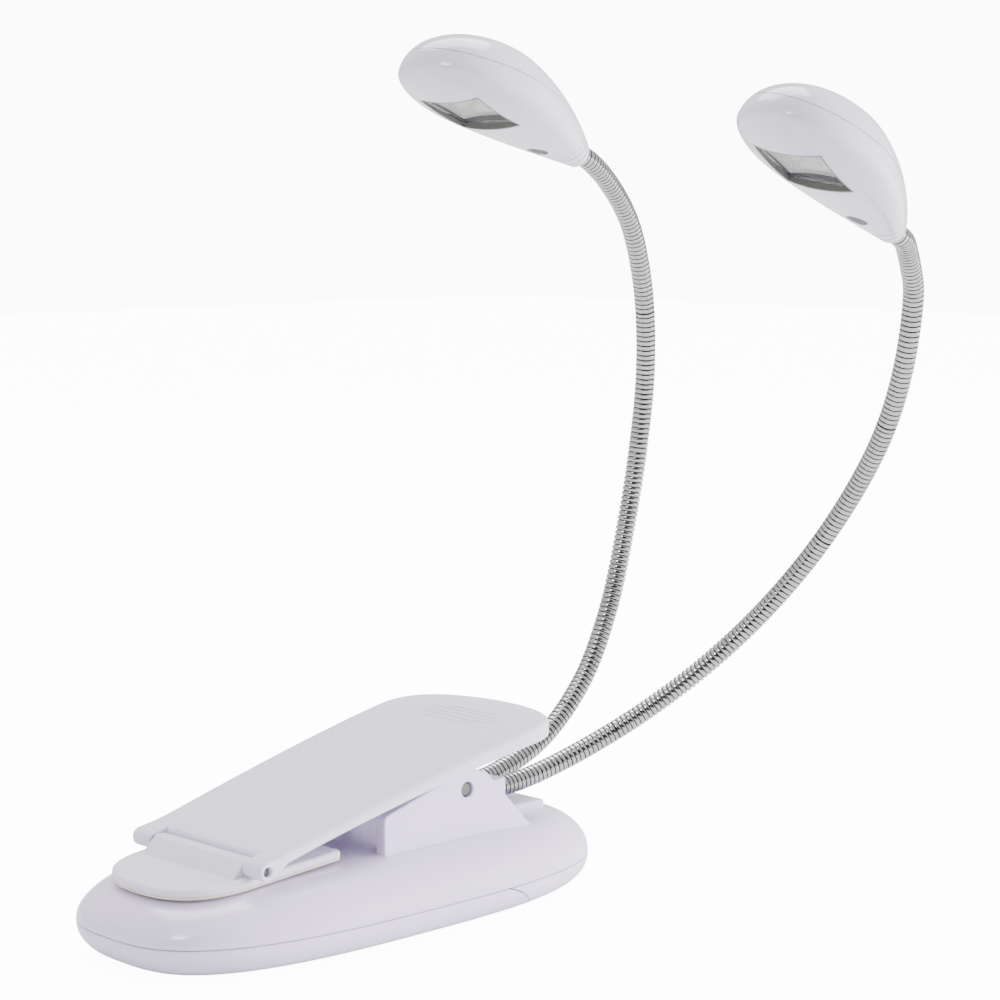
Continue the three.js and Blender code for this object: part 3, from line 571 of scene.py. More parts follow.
cell_jacket = plain_finish("cell_jacket", (0.06, 0.2, 0.11), (0.05, 0.16, 0.09), 0.32, 0.05,
                           patch_scale=70, metal=0.25, coat=0.4)
spring_steel = plain_finish("spring_steel", (0.62, 0.62, 0.63), (0.48, 0.48, 0.5), 0.28, 0.12,
                            grain=0.05, metal=1)
contact_brass = plain_finish("contact_brass", (0.72, 0.55, 0.25), (0.6, 0.43, 0.18), 0.34, 0.14,
                             grain=0.05, metal=1)
screw_zinc = plain_finish("zinc_plate", (0.13, 0.13, 0.125), (0.08, 0.08, 0.08), 0.42, 0.15,
                          grain=0.08, metal=1)
for i in range(1, 4):
    dress(f"battery_cell_{i}", cell_jacket)
    dress(f"contact_spring_{i}", spring_steel)
dress("contact_plate_front", contact_brass)
dress("contact_plate_rear", spring_steel)
for i in range(1, 5):
    dress(f"base_screw_{i}", screw_zinc)


# ---- Neck clamp and wires -------------------------------------------------------------------
# A block of satin ABS is screwed over the near ends of both necks inside the ears.
# A red and a black wire rise through it from the cells into the necks.
satin_white = plain_finish("satin_white_abs", (0.715, 0.685, 0.835), (0.70, 0.67, 0.82), 0.5, 0.1,
                           grain=0.06, grain_scale=2600, patch_scale=18, dust=0.06)
clamp_low, clamp_high = (Vector(corner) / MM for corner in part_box("neck_clamp"))
clamp_outline = [(clamp_low.x, clamp_low.z), (clamp_high.x, clamp_low.z),
                 (clamp_high.x, clamp_high.z), (clamp_low.x, clamp_high.z)]
clamp = slab("neck_clamp_block", clamp_outline, clamp_low.y, clamp_high.y)
clamp_bores = [rod("bore", "x", 2.4, 28, 45, (side * 3.5, 20.1)) for side in (-1, 1)]
carve(clamp, fuse("clamp_bores", clamp_bores))
soften(clamp, 0.5, 4)
paint(clamp, satin_white)
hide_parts("neck_clamp")
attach(clamp, "base")
dress("wire_a", plain_finish("red_sleeve", (0.5, 0.03, 0.03), (0.4, 0.02, 0.02), 0.45))
dress("wire_b", plain_finish("black_sleeve", (0.03, 0.03, 0.03), (0.02, 0.02, 0.02), 0.45))


# ---- Pivot pin ------------------------------------------------------------------------------
# A plain steel pin with broken ends passes through both ears and both lugs of the lever.
# It is a press fit in the ears and sits just under their outer faces.
pin_steel = plain_finish("dull_pin_steel", (0.2, 0.21, 0.19), (0.15, 0.16, 0.145), 0.46, 0.12,
                         grain=0.12, grain_scale=2200, metal=0.7)
pin = rod("pivot_pin", "y", pivot_radius, pin_low.y, pin_high.y, (pivot_x, pivot_z), 48, 0.25)
paint(pin, pin_steel)
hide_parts("clip_pivot_pin")
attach(pin, "base")


# ---- Lever ----------------------------------------------------------------------------------
# The clip's long lever is one moulding in satin ABS: a gently bowed plate with a skirt all round
# that deepens to the rear, two lugs on the pivot pin and two knuckles at the jaw.
lever_front = -33.3
lever_rear = 46.0
lever_round = 0.85


def lever_top(x):
    return 30 + 0.236 * (x - 2) - 0.0006 * (x - 2) ** 2 - 0.006 * max(0, x - 27) ** 2


def lever_half(x):
    share = min(max((x + 38.2) / 71.5, 0), 1)
    return 20 + 2.2 * share * share * (3 - 2 * share)


def lever_rim(x):
    return 1.7 + 1.7 * ((x + 38.2) / 84.2) ** 2


def lever_plan(inset):
    """The lever's outline from above, drawn in by an inset."""
    front, rear = lever_front + inset, lever_rear - inset
    turn = rear - 15
    flank = [(front + (turn - front) * i / 30, lever_half(front + (turn - front) * i / 30) - inset)
             for i in range(31)]
    half = flank[-1][1]
    nose = []
    for i in range(1, 21):
        t = i / 20
        p = ((turn, half), (turn + 9, half), (rear, half * 0.55), (rear, 0))
        w = ((1 - t) ** 3, 3 * t * (1 - t) ** 2, 3 * t * t * (1 - t), t ** 3)
        nose.append(tuple(sum(w[k] * p[k][n] for k in range(4)) for n in (0, 1)))
    edge = flank + nose
    face = [(front, flank[0][1] * (1 - i / 12)) for i in range(1, 12)]
    half_loop = face[::-1] + edge
    return half_loop + [(x, -y) for x, y in edge[-2::-1] + face] + [(front, 0)]


def lever_ring(inset, drop, rim_share=0.0, share=1.0):
    ring = []
    for x, y in lever_plan(inset):
        x = 6 + (x - 6) * share
        ring.append(Vector((x, y * share, lever_top(x) - drop - rim_share * lever_rim(x))))
    return ring


plate = 1.7
skirt = 1.8
cap_shares = (0.97, 0.9, 0.8, 0.68, 0.55, 0.42, 0.3, 0.18, 0.08)
lever_rows = [lever_ring(skirt, plate, 0, share) for share in cap_shares[::-1]]
lever_rows += [lever_ring(skirt, plate), lever_ring(skirt, 0.02, 1), lever_ring(skirt - 0.25, 0.2, 1),
               lever_ring(0.3, 0.2, 1), lever_ring(0.08, 0.08, 1), lever_ring(0, -0.15, 1)]
for i in range(7):
    turn = i / 6 * math.pi / 2
    lever_rows.append(lever_ring(lever_round * (1 - math.cos(turn)), lever_round * (1 - math.sin(turn))))
lever_rows += [lever_ring(lever_round, 0, 0, share) for share in cap_shares]
lever = piece_from("lever_plate", skin(lever_rows), 50)
paint(lever, satin_white)
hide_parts("clip_lever")
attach(lever, "lever")

jaw_low, jaw_high = (Vector(corner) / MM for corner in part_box("jaw_pad_pin"))
jaw_x = (jaw_low.x + jaw_high.x) / 2
jaw_z = (jaw_low.z + jaw_high.z) / 2
jaw_radius = (jaw_high.z - jaw_low.z) / 2
knuckle_inner = 14.4
knuckle_outline = arc((jaw_x, jaw_z), 1.85, 108, 300, 24)
knuckle_outline += [(jaw_x + 8, lever_top(jaw_x + 8) - 1.0), (jaw_x + 8, lever_top(jaw_x + 8) - 0.12),
                    (jaw_x + 4.4, lever_top(jaw_x + 4.4) - 0.05)]
lug_reach = pivot_radius + 2.2
lug_outline = arc((pivot_x, pivot_z), lug_reach, 165.6, 374.4, 30)
lug_outline += [(pivot_x + lug_reach + 1, lever_top(pivot_x + lug_reach) - 1.2),
                (pivot_x - lug_reach - 1, lever_top(pivot_x - lug_reach) - 1.2)]
for side, label in ((-1, "near"), (1, "far")):
    faces = sorted((side * knuckle_inner, side * 20.0))
    knuckle = slab("lever_knuckle_" + label, knuckle_outline, *faces)
    carve(knuckle, rod("jaw_hole", "y", jaw_radius + 0.15, -30, 30, (jaw_x, jaw_z), 32))
    soften(knuckle, 0.4, 4)
    lug = slab("lever_lug_" + label, lug_outline, *sorted((side * 13.4, side * 16.0)))
    carve(lug, rod("lug_hole", "y", pivot_radius + 0.15, -30, 30, (pivot_x, pivot_z)))
    soften(lug, 0.25)
    for part in (knuckle, lug):
        paint(part, satin_white)
        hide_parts("clip_lever")
        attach(part, "lever")


# ---- Thumb ribs -----------------------------------------------------------------------------
# Five fine raised ribs near the lever's tail give the thumb a grip.
# They are moulded with the lever and barely stand above it.
rib_length = 19.0
rib_width = 0.8
rib_height = 0.16


def low_strip(name, x, half):
    """A slim rounded strip that lies across the lever."""
    rings = []
    steps = ((0.0, -0.15), (0.0, rib_height * 0.5), (0.08, rib_height * 0.9), (0.18, rib_height))
    for inset, lift in steps:
        radius = rib_width / 2 - inset
        ring = []
        for side in (1, -1):
            for i in range(9):
                turn = math.pi * i / 8
                ring.append((x + side * radius * math.cos(turn), side * (half + radius * math.sin(turn))))
        rings.append([Vector((px, py, lever_top(px) + lift)) for px, py in ring])
    return piece_from(name, skin(rings))


ribs = [low_strip("rib", x, half) for x, half in
        ((28.6, 7.0), (30.3, rib_length / 2), (32.0, rib_length / 2), (33.7, rib_length / 2), (35.4, 7.0))]
thumb_ribs = fuse("thumb_ribs", ribs)
thumb_ribs.data.polygons.foreach_set("use_smooth", [True] * len(thumb_ribs.data.polygons))
paint(thumb_ribs, satin_white)
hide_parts("clip_lever")
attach(thumb_ribs, "lever")


# ---- Clip spring ----------------------------------------------------------------------------
# A torsion spring of music wire sits round the pin; one leg bears on the base and the other
# under the lever, which pushes the tail up and so closes the jaw.
spring_wire = 0.5
spring_turns = 6
spring_span = 9.0
spring_radius = pivot_radius + 1.5


def smooth_run(points, steps):
    """More points along a chain, rounded between the given ones."""
    ends = [2 * points[0] - points[1]] + points + [2 * points[-1] - points[-2]]
    run = []
    for a, b, c, d in zip(ends, ends[1:], ends[2:], ends[3:]):
        for t in (step / steps for step in range(steps)):
            curl = 2 * a - 5 * b + 4 * c - d + t * (3 * (b - c) + d - a)
            run.append(b + 0.5 * t * (c - a + t * curl))
    return run + [points[-1]]


def wire_tube(name, points, radius):
    sides = 12
    side = points[1].cross(points[0] - points[1]).normalized()
    rings = []
    for i, point in enumerate(points):
        ahead = (points[min(i + 1, len(points) - 1)] - points[max(i - 1, 0)]).normalized()
        side = (side - ahead * side.dot(ahead)).normalized()
        other = ahead.cross(side)
        rings.append([point + radius * (math.cos(a) * side + math.sin(a) * other)
                      for a in (2 * math.pi * k / sides for k in range(sides))])
    return piece_from(name, skin(rings), 60)


leg = [Vector((pivot_x + 10, -spring_span / 2, lever_top(pivot_x + 10) - plate - 0.9)),
       Vector((pivot_x + 5, -spring_span / 2, pivot_z + spring_radius + 1.2))]
for i in range(spring_turns * 16 + 1):
    share = i / (spring_turns * 16)
    turn = math.pi / 2 - share * (2 * spring_turns + 1) * math.pi
    leg.append(Vector((pivot_x + spring_radius * math.cos(turn), spring_span * (share - 0.5),
                       pivot_z + spring_radius * math.sin(turn))))
leg += [Vector((pivot_x + 4, spring_span / 2, pivot_z - spring_radius - 1.6)),
        Vector((pivot_x + 8.6, spring_span / 2, crown(pivot_x + 8) + 1.4))]
spring = wire_tube("torsion_spring", smooth_run(leg, 3), spring_wire)
paint(spring, spring_steel)
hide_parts("clip_spring")
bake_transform(spring)


# ---- Jaw pad --------------------------------------------------------------------------------
# The jaw swings on a thin pin at the lever's tip: a tongue-shaped satin moulding with a rounded
# nose, a hinge bar along its pin and a cream rubber sole bonded underneath.
pad_front = -51.5
pad_rear = -14.6
pad_half = 16.4
pad_round_from = -36.0
sole_thickness = 0.55
pad_thickness = 2.0
pad_middle = (pad_front + pad_rear) / 2
pad_middle_height = 15.409
pad_slope = 0.0751


def pad_seat(x):
    """The pad's underside: parallel to the crown under the pad's middle, a little above it."""
    return pad_middle_height + pad_slope * (x - pad_middle)


def pad_plan(inset):
    rear, half = pad_rear - inset, pad_half - inset
    reach = pad_round_from - pad_front - inset
    corner = 1.0
    side = [(rear - corner + corner * math.sin(a), half - corner + corner * math.cos(a))
            for a in (1.57, 1.05, 0.52, 0)]
    side += [(rear - corner - (rear - corner - pad_round_from) * i / 10, half) for i in range(1, 10)]
    for i in range(25):
        turn = i / 24 * math.pi / 2
        side.append((pad_round_from - reach * math.sin(turn) ** 0.8, half * math.cos(turn) ** 0.8
                     if i < 24 else 0.0))
    back = [(rear, (half - corner) * i / 8) for i in range(0, 8)]
    loop = back + side
    return loop + [(x, -y) for x, y in loop[-2:0:-1]]


def pad_ring(inset, rise, share=1.0):
    ring = []
    for x, y in pad_plan(inset):
        x = -32 + (x + 32) * share
        ring.append(Vector((x, y * share, pad_seat(x) + rise)))
    return ring


pad_caps = (0.92, 0.75, 0.5, 0.25, 0.08)
pad_rows = [pad_ring(0.3, sole_thickness, share) for share in pad_caps[::-1]]
pad_rows += [pad_ring(0.3, sole_thickness), pad_ring(0.06, sole_thickness + 0.06),
             pad_ring(0, sole_thickness + 0.25)]
for i in range(6):
    turn = i / 5 * math.pi / 2
    pad_rows.append(pad_ring(0.7 * (1 - math.cos(turn)), pad_thickness - 0.7 * (1 - math.sin(turn))))
pad_rows += [pad_ring(0.7, pad_thickness, share) for share in pad_caps]
pad_white = plain_finish("pad_white_abs", (0.73, 0.69, 0.80), (0.715, 0.675, 0.785), 0.42, 0.1,
                         grain=0.05, grain_scale=2200, patch_scale=20, dust=0.05)
pad = piece_from("jaw_tongue", skin(pad_rows), 50)

sole_rows = [pad_ring(0.25, 0.0, share) for share in pad_caps[::-1]]
sole_rows += [pad_ring(0.25, 0.0), pad_ring(0.05, 0.08), pad_ring(0, 0.22),
              pad_ring(0, sole_thickness - 0.12), pad_ring(0.1, sole_thickness - 0.01)]
sole_rows += [pad_ring(0.1, sole_thickness - 0.01, share) for share in pad_caps]
sole = piece_from("jaw_sole", skin(sole_rows), 50)
cream_rubber = plain_finish("cream_rubber", (0.69, 0.64, 0.58), (0.63, 0.585, 0.53), 0.62, 0.12,
                            grain=0.14, grain_scale=1800, patch_scale=60, dust=0.1)

bridge = [(jaw_x + 2.6, pad_seat(jaw_x + 2.6) + 1), (jaw_x + 2.1, jaw_z - 0.4), (jaw_x + 2.1, jaw_z + 0.7)]
bridge += arc((jaw_x + 1.5, jaw_z + 0.7), 0.6, 20, 90, 5) + arc((jaw_x, jaw_z), 1.35, 80, 140, 8)
bridge_front = jaw_x - 3.9
bridge += [(bridge_front, pad_seat(bridge_front) + pad_thickness - 0.1),
           (bridge_front, pad_seat(bridge_front) + 1)]
hinge_bar = slab("jaw_hinge_bar", bridge, -knuckle_inner + 0.3, knuckle_inner - 0.3)
soften(hinge_bar, 0.2)

jaw_pin = rod("jaw_pin", "y", jaw_radius, jaw_low.y, jaw_high.y, (jaw_x, jaw_z), 32, 0.15)
paint(jaw_pin, pin_steel)
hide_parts("jaw_pad_pin")
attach(jaw_pin, "lever")
for part, material in ((pad, pad_white), (sole, cream_rubber), (hinge_bar, pad_white)):
    paint(part, material)
    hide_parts("jaw_pad")
    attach(part, "pad")


# ---- Goosenecks -----------------------------------------------------------------------------
# Each neck is a tight steel coil, bright nickel-plated, that holds whatever bend it is given.
# It is gripped in the clamp block and pushed into the head's collar at the other end.
neck_radius = 2.15
coil_pitch = 1.12
coil_sides = 24
coil_shape = ((0.0, 0.06), (0.03, 0.32), (0.19, 0.32), (0.22, 0.06), (0.34, 0.01),
              (0.6, 0.0), (0.88, 0.01))
neck_rise = 20.1
bend_shares = (0.13, 0.29, 0.46, 0.63, 0.8)
neck_in_head = 5
neck_routes = {
    "a": [(31, 3.5, 0), (37.6, 3.5, 0), (46, 3.5, 1.2), (59.5, 3.3, 6.5), (72.6, 3.8, 17.6),
          (81.5, 4.5, 32.4), (87, 4.6, 49.9), (89.5, 3.4, 66.9), (89.2, 1, 83.9), (85, -2.4, 100.9),
          (76.8, -6.9, 114.6), (70.4, -9.6, 121), (61.9, -12.8, 126.7), (57.2, -14.4, 129.1),
          (53.5, -15.3, 130.8), (50.7, -15.5, 131.8)],
    "b": [(31, -3.5, 0), (37.6, -3.5, 0), (46, -4.2, 0.8), (57.7, -6.7, 4.2), (72.4, -13, 12),
          (83.8, -21.3, 22.1), (91.9, -30.7, 34.1), (96.6, -40.5, 47.3), (97.9, -50.5, 61.4),
          (95.6, -60.3, 75.6), (92.2, -67.5, 89.9), (88.7, -72, 104.3), (84.7, -74.2, 109.3),
          (80.9, -76.2, 112.5), (76.9, -78.3, 114.8), (74.2, -79.2, 115.7), (71.8, -79.5, 116.9)],
}


class NeckPath:
    """A smooth path through a neck's points, walked by distance, with untwisted side vectors."""

    def __init__(self, route, spare):
        points = [np.array((x, y, neck_rise + z), float) for x, y, z in route]
        points = [2 * points[0] - points[1]] + points + [2 * points[-1] - points[-2]]
        walk = []
        for p0, p1, p2, p3 in zip(points, points[1:], points[2:], points[3:]):
            d0, d1, d2 = (np.sum((b - a) ** 2) ** 0.25 for a, b in ((p0, p1), (p1, p2), (p2, p3)))
            leave = ((p1 - p0) / d0 - (p2 - p0) / (d0 + d1) + (p2 - p1) / d1) * d1
            reach = ((p2 - p1) / d1 - (p3 - p1) / (d1 + d2) + (p3 - p2) / d2) * d1
            for t in np.linspace(0, 1, 60, endpoint=False):
                walk.append(p1 + leave * t + (-3 * p1 + 3 * p2 - 2 * leave - reach) * t ** 2
                            + (2 * p1 - 2 * p2 + leave + reach) * t ** 3)
        walk.append(points[-2])
        walk = np.array(walk)
        self.length = float(np.sum(np.linalg.norm(np.diff(walk, axis=0), axis=1)))
        last = (walk[-1] - walk[-2]) / np.linalg.norm(walk[-1] - walk[-2])
        self.walk = np.vstack([walk, walk[-1] + last * spare])
        steps = np.linalg.norm(np.diff(self.walk, axis=0), axis=1)
        self.distance = np.concatenate([[0], np.cumsum(steps)])
        self.tangent = np.gradient(self.walk, self.distance, axis=0)
        self.tangent[-2:] = last
        self.tangent /= np.linalg.norm(self.tangent, axis=1)[:, None]
        side = np.cross((0, 0, 1), self.tangent[0])
        sides = []
        for tangent in self.tangent:
            side = side - tangent * np.dot(side, tangent)
            side = side / np.linalg.norm(side)
            sides.append(side)
        self.side = np.array(sides)

    def look_up(self, table, distance):
        return np.array([np.interp(distance, self.distance, table[:, k]) for k in range(3)])

    def at(self, distance):
        point, tangent, side = (self.look_up(t, distance) for t in (self.walk, self.tangent, self.side))
        return point, tangent, side, np.cross(tangent, side)


def coil_tube(name, path, start, end):
    """A stretch of neck: one rounded band and one groove for each turn of wire."""
    turns = np.linspace(0, 2 * math.pi, coil_sides, endpoint=False)
    rings = []
    count = round((end - start) / coil_pitch)
    for band in range(count):
        for share, depth in coil_shape:
            point, _, side, other = path.at(start + (band + share) * coil_pitch)
            radius = neck_radius - depth
            rings.append([Vector(point + radius * (math.cos(a) * side + math.sin(a) * other))
                          for a in turns])
    return piece_from(name, skin(rings), 60)


def nickel_coil():
    """Bright plate, with painted shade darkening it down in the grooves, and lightly handled."""
    material, nodes, links = new_material("nickel_coil")
    shader = nodes["Principled BSDF"]
    shader.inputs["Metallic"].default_value = 1
    detail = fit_group(nodes, surface_detail, {"Patch Scale": 120, "Grain Scale": 1500, "Dust": 0.0})
    colour = nodes.new("ShaderNodeMix")
    colour.data_type = "RGBA"
    colour.inputs["A"].default_value = (0.33, 0.33, 0.34, 1)
    colour.inputs["B"].default_value = (0.56, 0.56, 0.56, 1)
    links.new(detail.outputs["Patches"], colour.inputs["Factor"])
    # Painted shade: the groove weight mixes the plating colour towards near-black down in each groove.
    depth = nodes.new("ShaderNodeAttribute")
    depth.attribute_name = "groove"
    groove_painted_shade = nodes.new("ShaderNodeMix")
    groove_painted_shade.data_type = "RGBA"
    groove_painted_shade.inputs["B"].default_value = (0.035, 0.035, 0.04, 1)
    links.new(depth.outputs["Fac"], groove_painted_shade.inputs["Factor"])
    links.new(colour.outputs["Result"], groove_painted_shade.inputs["A"])
    links.new(groove_painted_shade.outputs["Result"], shader.inputs["Base Color"])
    gloss = nodes.new("ShaderNodeMapRange")
    gloss.inputs["To Min"].default_value = 0.1
    gloss.inputs["To Max"].default_value = 0.24
    links.new(detail.outputs["Grain"], gloss.inputs["Value"])
    links.new(gloss.outputs["Result"], shader.inputs["Roughness"])
    bump = nodes.new("ShaderNodeBump")
    bump.inputs["Strength"].default_value = 0.05
    bump.inputs["Distance"].default_value = 0.0001
    links.new(detail.outputs["Grain"], bump.inputs["Height"])
    links.new(bump.outputs["Normal"], shader.inputs["Normal"])
    return material


neck_plate = nickel_coil()
paths = {}
for arm, route in neck_routes.items():
    path = NeckPath(route, neck_in_head)
    paths[arm] = path
    bends = [share * path.length for share in bend_shares]
    stops = [0, *bends, path.length + neck_in_head]
    cuts = [0] + [(stops[i] + stops[i + 1]) / 2 for i in range(1, 5)] + [stops[-1]]
    cuts = [round(cut / coil_pitch) * coil_pitch for cut in cuts]
    for i in range(5):
        tube = coil_tube(f"gooseneck_{arm}_{i + 1}", path, cuts[i], cuts[i + 1])
        # Painted shade: each ring gets a groove weight from its depth, which darkens the plating in the
        # grooves.
        groove = tube.data.attributes.new("groove", "FLOAT", "POINT")
        band = [min(1.0, depth / 0.28) for _, depth in coil_shape for _ in range(coil_sides)]
        values = (band * round((cuts[i + 1] - cuts[i]) / coil_pitch)) + [0.0, 0.0]
        groove.data.foreach_set("value", values[:len(tube.data.vertices)])
        paint(tube, neck_plate)
        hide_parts(f"neck_{arm}_{i + 1}", *([f"neck_{arm}_6"] if i == 4 else []))
        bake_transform(tube)


# ---- Head shells ----------------------------------------------------------------------------
# Each head is a hollow egg of glossy ABS in two halves, snapped together along a side seam.
# The lower half has a window for the light and the upper half an oval hole for the button.
head_length = 50.0
head_half = 14.5
head_top = 11.0
head_bottom = 4.9
head_wall = 1.4
head_widest = 0.62
head_tail = 2.9
head_seam = 3.19
collar_length = 6.6
button_x = 21.0
button_long = 4.2
button_wide = 3.2
head_screw_x = 12.0
window = (26.6, 40.0, 7.69)


def head_reach(full, share):
    if share > head_widest:
        return full * math.sqrt(max(0, 1 - ((share - head_widest) / (1 - head_widest)) ** 2))
    return full - (full - head_tail) * ((head_widest - share) / head_widest) ** 1.55


def egg_ring(share, inset):
    ring = []
    sides = 96
    across = max(0.12, head_reach(head_half, share) - inset)
    above = max(0.12, head_reach(head_top, share) - inset)
    below = max(0.12, head_reach(head_bottom, share) - inset)
    for i in range(sides):
        turn = 2 * math.pi * i / sides
        lift = math.cos(turn)
        ring.append(Vector((share * (head_length - inset), math.sin(turn) * across,
                            lift * (above if lift > 0 else below))))
    return ring


def egg_mesh(name, inset=0.0, start=0.0):
    stations = [start + (head_widest - start) * i / 26 for i in range(27)]
    stations += [head_widest + (1 - head_widest) * math.sin(i / 24 * math.pi / 2)
                 for i in range(1, 24)]
    stations.append(0.99995)
    return piece_from(name, skin([egg_ring(share, inset) for share in stations]), 40)


def brick(name, x0, x1, y0, y1, z0, z1):
    return slab(name, [(x0, z0), (x1, z0), (x1, z1), (x0, z1)], y0, y1)


def window_tool(margin, z0, z1):
    x0, x1, half = window
    return brick("window_tool", x0 - margin, x1 + margin, -half - margin, half + margin, z0, z1)


head_white = plain_finish("head_white_abs", (0.68, 0.64, 0.77), (0.66, 0.62, 0.75), 0.16, 0.05,
                          grain=0.01, grain_scale=1400, patch_scale=26, dust=0.04,
                          coat=0.45, coat_rough=0.06)
seam_air = 0.07
shell_start = collar_length + 0.12


def upper_head(name):
    shell = egg_mesh(name)
    carve(shell, egg_mesh("hollow", head_wall, collar_length / head_length))
    carve(shell, brick("below", -5, 60, -30, 30, -30, head_seam + seam_air))
    carve(shell, brick("tail", -9, shell_start, -30, 30, -30, 30))
    well = rod("well", "z", 1.0, 6, 18, (0, 0), 64)
    well.data.transform(Matrix.Diagonal((button_long + 0.25, button_wide + 0.25, 1, 1)))
    well.data.transform(Matrix.Translation((button_x * MM, 0, 0)))
    carve(shell, well)
    return shell


def lower_head(name):
    shell = egg_mesh(name)
    carve(shell, egg_mesh("hollow", head_wall, collar_length / head_length))
    carve(shell, brick("above", -5, 60, -30, 30, head_seam - seam_air, 30))
    carve(shell, brick("tail", -9, shell_start, -30, 30, -30, 30))
    frame_bar = window_tool(1.4, -3.7, -1.0)
    carve(frame_bar, egg_mesh("bound", head_wall / 2), "INTERSECT")
    carve(shell, frame_bar, "UNION")
    boss = rod("boss", "z", 2.9, -6, -1.5, (head_screw_x, 0))
    carve(boss, egg_mesh("bound", head_wall / 2), "INTERSECT")
    carve(shell, boss, "UNION")
    carve(shell, window_tool(0.1, -12, -1.78))
    carve(shell, window_tool(-0.8, -12, 2))
    carve(shell, rod("sink", "z", 2.2, -8, -2.2, (head_screw_x, 0)))
    carve(shell, rod("shank", "z", 1.1, -8, 1, (head_screw_x, 0), 24))
    return shell


def head_place(arm):
    """Where a head sits: along its neck's end, back upwards, rolled a little on its neck."""
    path = paths[arm]
    point, tangent, _, _ = path.at(path.length)
    along = Vector(tangent).normalized()
    up = (Vector((0, 0, 1)) - along * along.z).normalized()
    across = up.cross(along)
    basis = Matrix((along, across, up)).transposed().to_4x4()
    roll = {"a": 0.0, "b": 0.16}[arm]
    return Matrix.Translation(Vector(point) * MM) @ basis @ Matrix.Rotation(-roll, 4, "X")


upper_master = upper_head("upper_master")
lower_master = lower_head("lower_master")
heads = {}
for arm in ("a", "b"):
    heads[arm] = head_place(arm)
    for master, label in ((upper_master, "top_shell"), (lower_master, "bottom_shell")):
        shell = bpy.data.objects.new(f"head_{arm}_{label}_skin", master.data.copy())
        scene.collection.objects.link(shell)
        shell.data.transform(heads[arm])
        paint(shell, head_white)
        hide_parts(f"head_{arm}_{label}")
        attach(shell, f"head_{arm}")
bpy.data.objects.remove(upper_master)
bpy.data.objects.remove(lower_master)


# ---- Head collars ---------------------------------------------------------------------------
# A turned-looking collar closes the tail of each head, with two shallow steps for a grip.
# The neck is pressed and glued into its bore.
def collar_mesh(name):
    rows = []
    rings = ((0.0, 0.25), (0.12, 0.0), (1.7, 0.0), (1.78, 0.22), (2.1, 0.22), (2.2, 0.0), (4.2, 0.0),
             (4.28, 0.18), (4.5, 0.18), (4.6, 0.0), (5.4, 0.0), (6.5, 0.0), (6.6, 0.12))
    for x, depth in rings:
        ring = egg_ring(x / head_length, depth)
        rows.append([Vector((x, p.y, p.z)) for p in ring])
    return piece_from(name, skin(rows), 25)


for arm in ("a", "b"):
    collar = collar_mesh(f"head_{arm}_collar_skin")
    carve(collar, rod("bore", "x", neck_radius + 0.06, -1, 8, (0, 0)))
    collar.data.transform(heads[arm])
    paint(collar, head_white)
    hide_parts(f"head_{arm}_collar")
    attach(collar, f"head_{arm}")


# ---- Push buttons ---------------------------------------------------------------------------
# A small oval satin button stands just proud of each head's back and clicks down to switch it.
# It slides in its hole on a switch soldered to the board below.
button_white = plain_finish("button_white_abs", (0.72, 0.7, 0.75), (0.7, 0.68, 0.73), 0.44, 0.1,
                            grain=0.05, grain_scale=2400, patch_scale=60, dust=0.05)
button_crest = head_reach(head_top, button_x / head_length)
for arm in ("a", "b"):
    rows = ((1.2, 4.65), (1.25, 4.8), (1.25, 5.3), (1.0, 5.4), (1.0, button_crest - 0.6),
            (0.97, button_crest - 0.1), (0.88, button_crest + 0.25), (0.7, button_crest + 0.45),
            (0.4, button_crest + 0.53), (0.12, button_crest + 0.55))
    rings = [[Vector((button_x + reach * button_long * math.cos(a), reach * button_wide * math.sin(a), z))
              for a in np.linspace(0, 2 * math.pi, 64, endpoint=False)] for reach, z in rows]
    button = piece_from(f"head_{arm}_push_button", skin(rings), 40)
    button.data.transform(heads[arm])
    paint(button, button_white)
    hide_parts(f"head_{arm}_button")
    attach(button, f"button_{arm}")


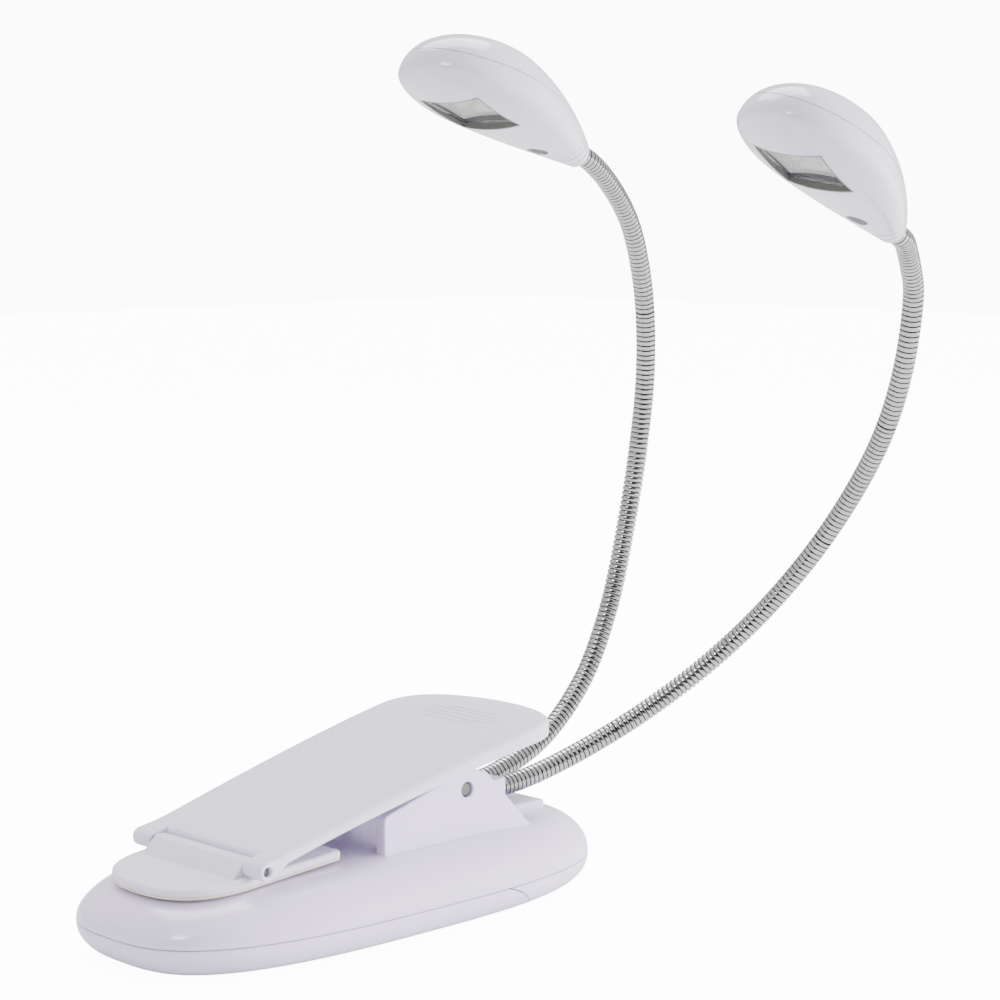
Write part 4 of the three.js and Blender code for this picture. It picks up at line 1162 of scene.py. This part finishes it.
# ---- Lights behind the windows --------------------------------------------------------------
# Behind a clear acrylic window lies a vacuum-plated tray with two warm diodes standing in it.
# Their board is screwed up from below, beside the recessed screw that closes the head.
def clear_window():
    material, nodes, links = new_material("clear_acrylic")
    shader = nodes["Principled BSDF"]
    shader.inputs["Transmission Weight"].default_value = 1
    shader.inputs["IOR"].default_value = 1.49
    shader.inputs["Metallic"].default_value = 0
    detail = fit_group(nodes, surface_detail, {"Patch Scale": 60, "Grain Scale": 700, "Dust": 0.0})
    haze = nodes.new("ShaderNodeMapRange")
    haze.inputs["To Min"].default_value = 0.0
    haze.inputs["To Max"].default_value = 0.08
    links.new(detail.outputs["Patches"], haze.inputs["Value"])
    links.new(haze.outputs["Result"], shader.inputs["Roughness"])
    tint = nodes.new("ShaderNodeMix")
    tint.data_type = "RGBA"
    tint.inputs["A"].default_value = (0.6, 0.62, 0.61, 1)
    tint.inputs["B"].default_value = (0.74, 0.76, 0.75, 1)
    links.new(detail.outputs["Patches"], tint.inputs["Factor"])
    links.new(tint.outputs["Result"], shader.inputs["Base Color"])
    return material


clear_acrylic = clear_window()
plated_tray = plain_finish("plated_tray", (0.55, 0.56, 0.55), (0.42, 0.43, 0.43), 0.2, 0.1,
                           grain=0.04, metal=1, dust=0.02)
board_green = plain_finish("board_lacquer", (0.04, 0.17, 0.07), (0.03, 0.13, 0.05), 0.36, 0.1,
                           patch_scale=200)
diode_warm = plain_finish("diode_resin", (0.9, 0.82, 0.55), (0.85, 0.74, 0.42), 0.14, 0.04,
                          patch_scale=160, coat=0.5)
# Painted shade: a dark grey for the frame that stands in for the shade inside each window's recess.
recess_painted_shade = plain_finish("recess_painted_shade", (0.2, 0.2, 0.195), (0.15, 0.15, 0.145), 0.35, 0.1, dust=0.0)


def recess_shade_liner(name):
    """A thin dark frame of painted shade that lines the window's recess down to the curved outside."""
    shade_liner = window_tool(0.08, -6, -3.34)
    carve(shade_liner, window_tool(-0.3, -12, 2))
    carve(shade_liner, egg_mesh("bound", 0.03), "INTERSECT")
    shade_liner.name = name
    return shade_liner


for arm in ("a", "b"):
    # Each window's recess gets its dark frame of painted shade.
    shade_liner = recess_shade_liner(f"head_{arm}_recess_shade_liner")
    shade_liner.data.transform(heads[arm])
    paint(shade_liner, recess_painted_shade)
    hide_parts(f"head_{arm}_bottom_shell")
    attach(shade_liner, f"head_{arm}")
    dress(f"head_{arm}_lens", clear_acrylic)
    dress(f"head_{arm}_reflector", plated_tray)
    dress(f"head_{arm}_led_board", board_green)
    dress(f"head_{arm}_led_1", diode_warm)
    dress(f"head_{arm}_led_2", diode_warm)
    dress(f"head_{arm}_screw", screw_zinc)
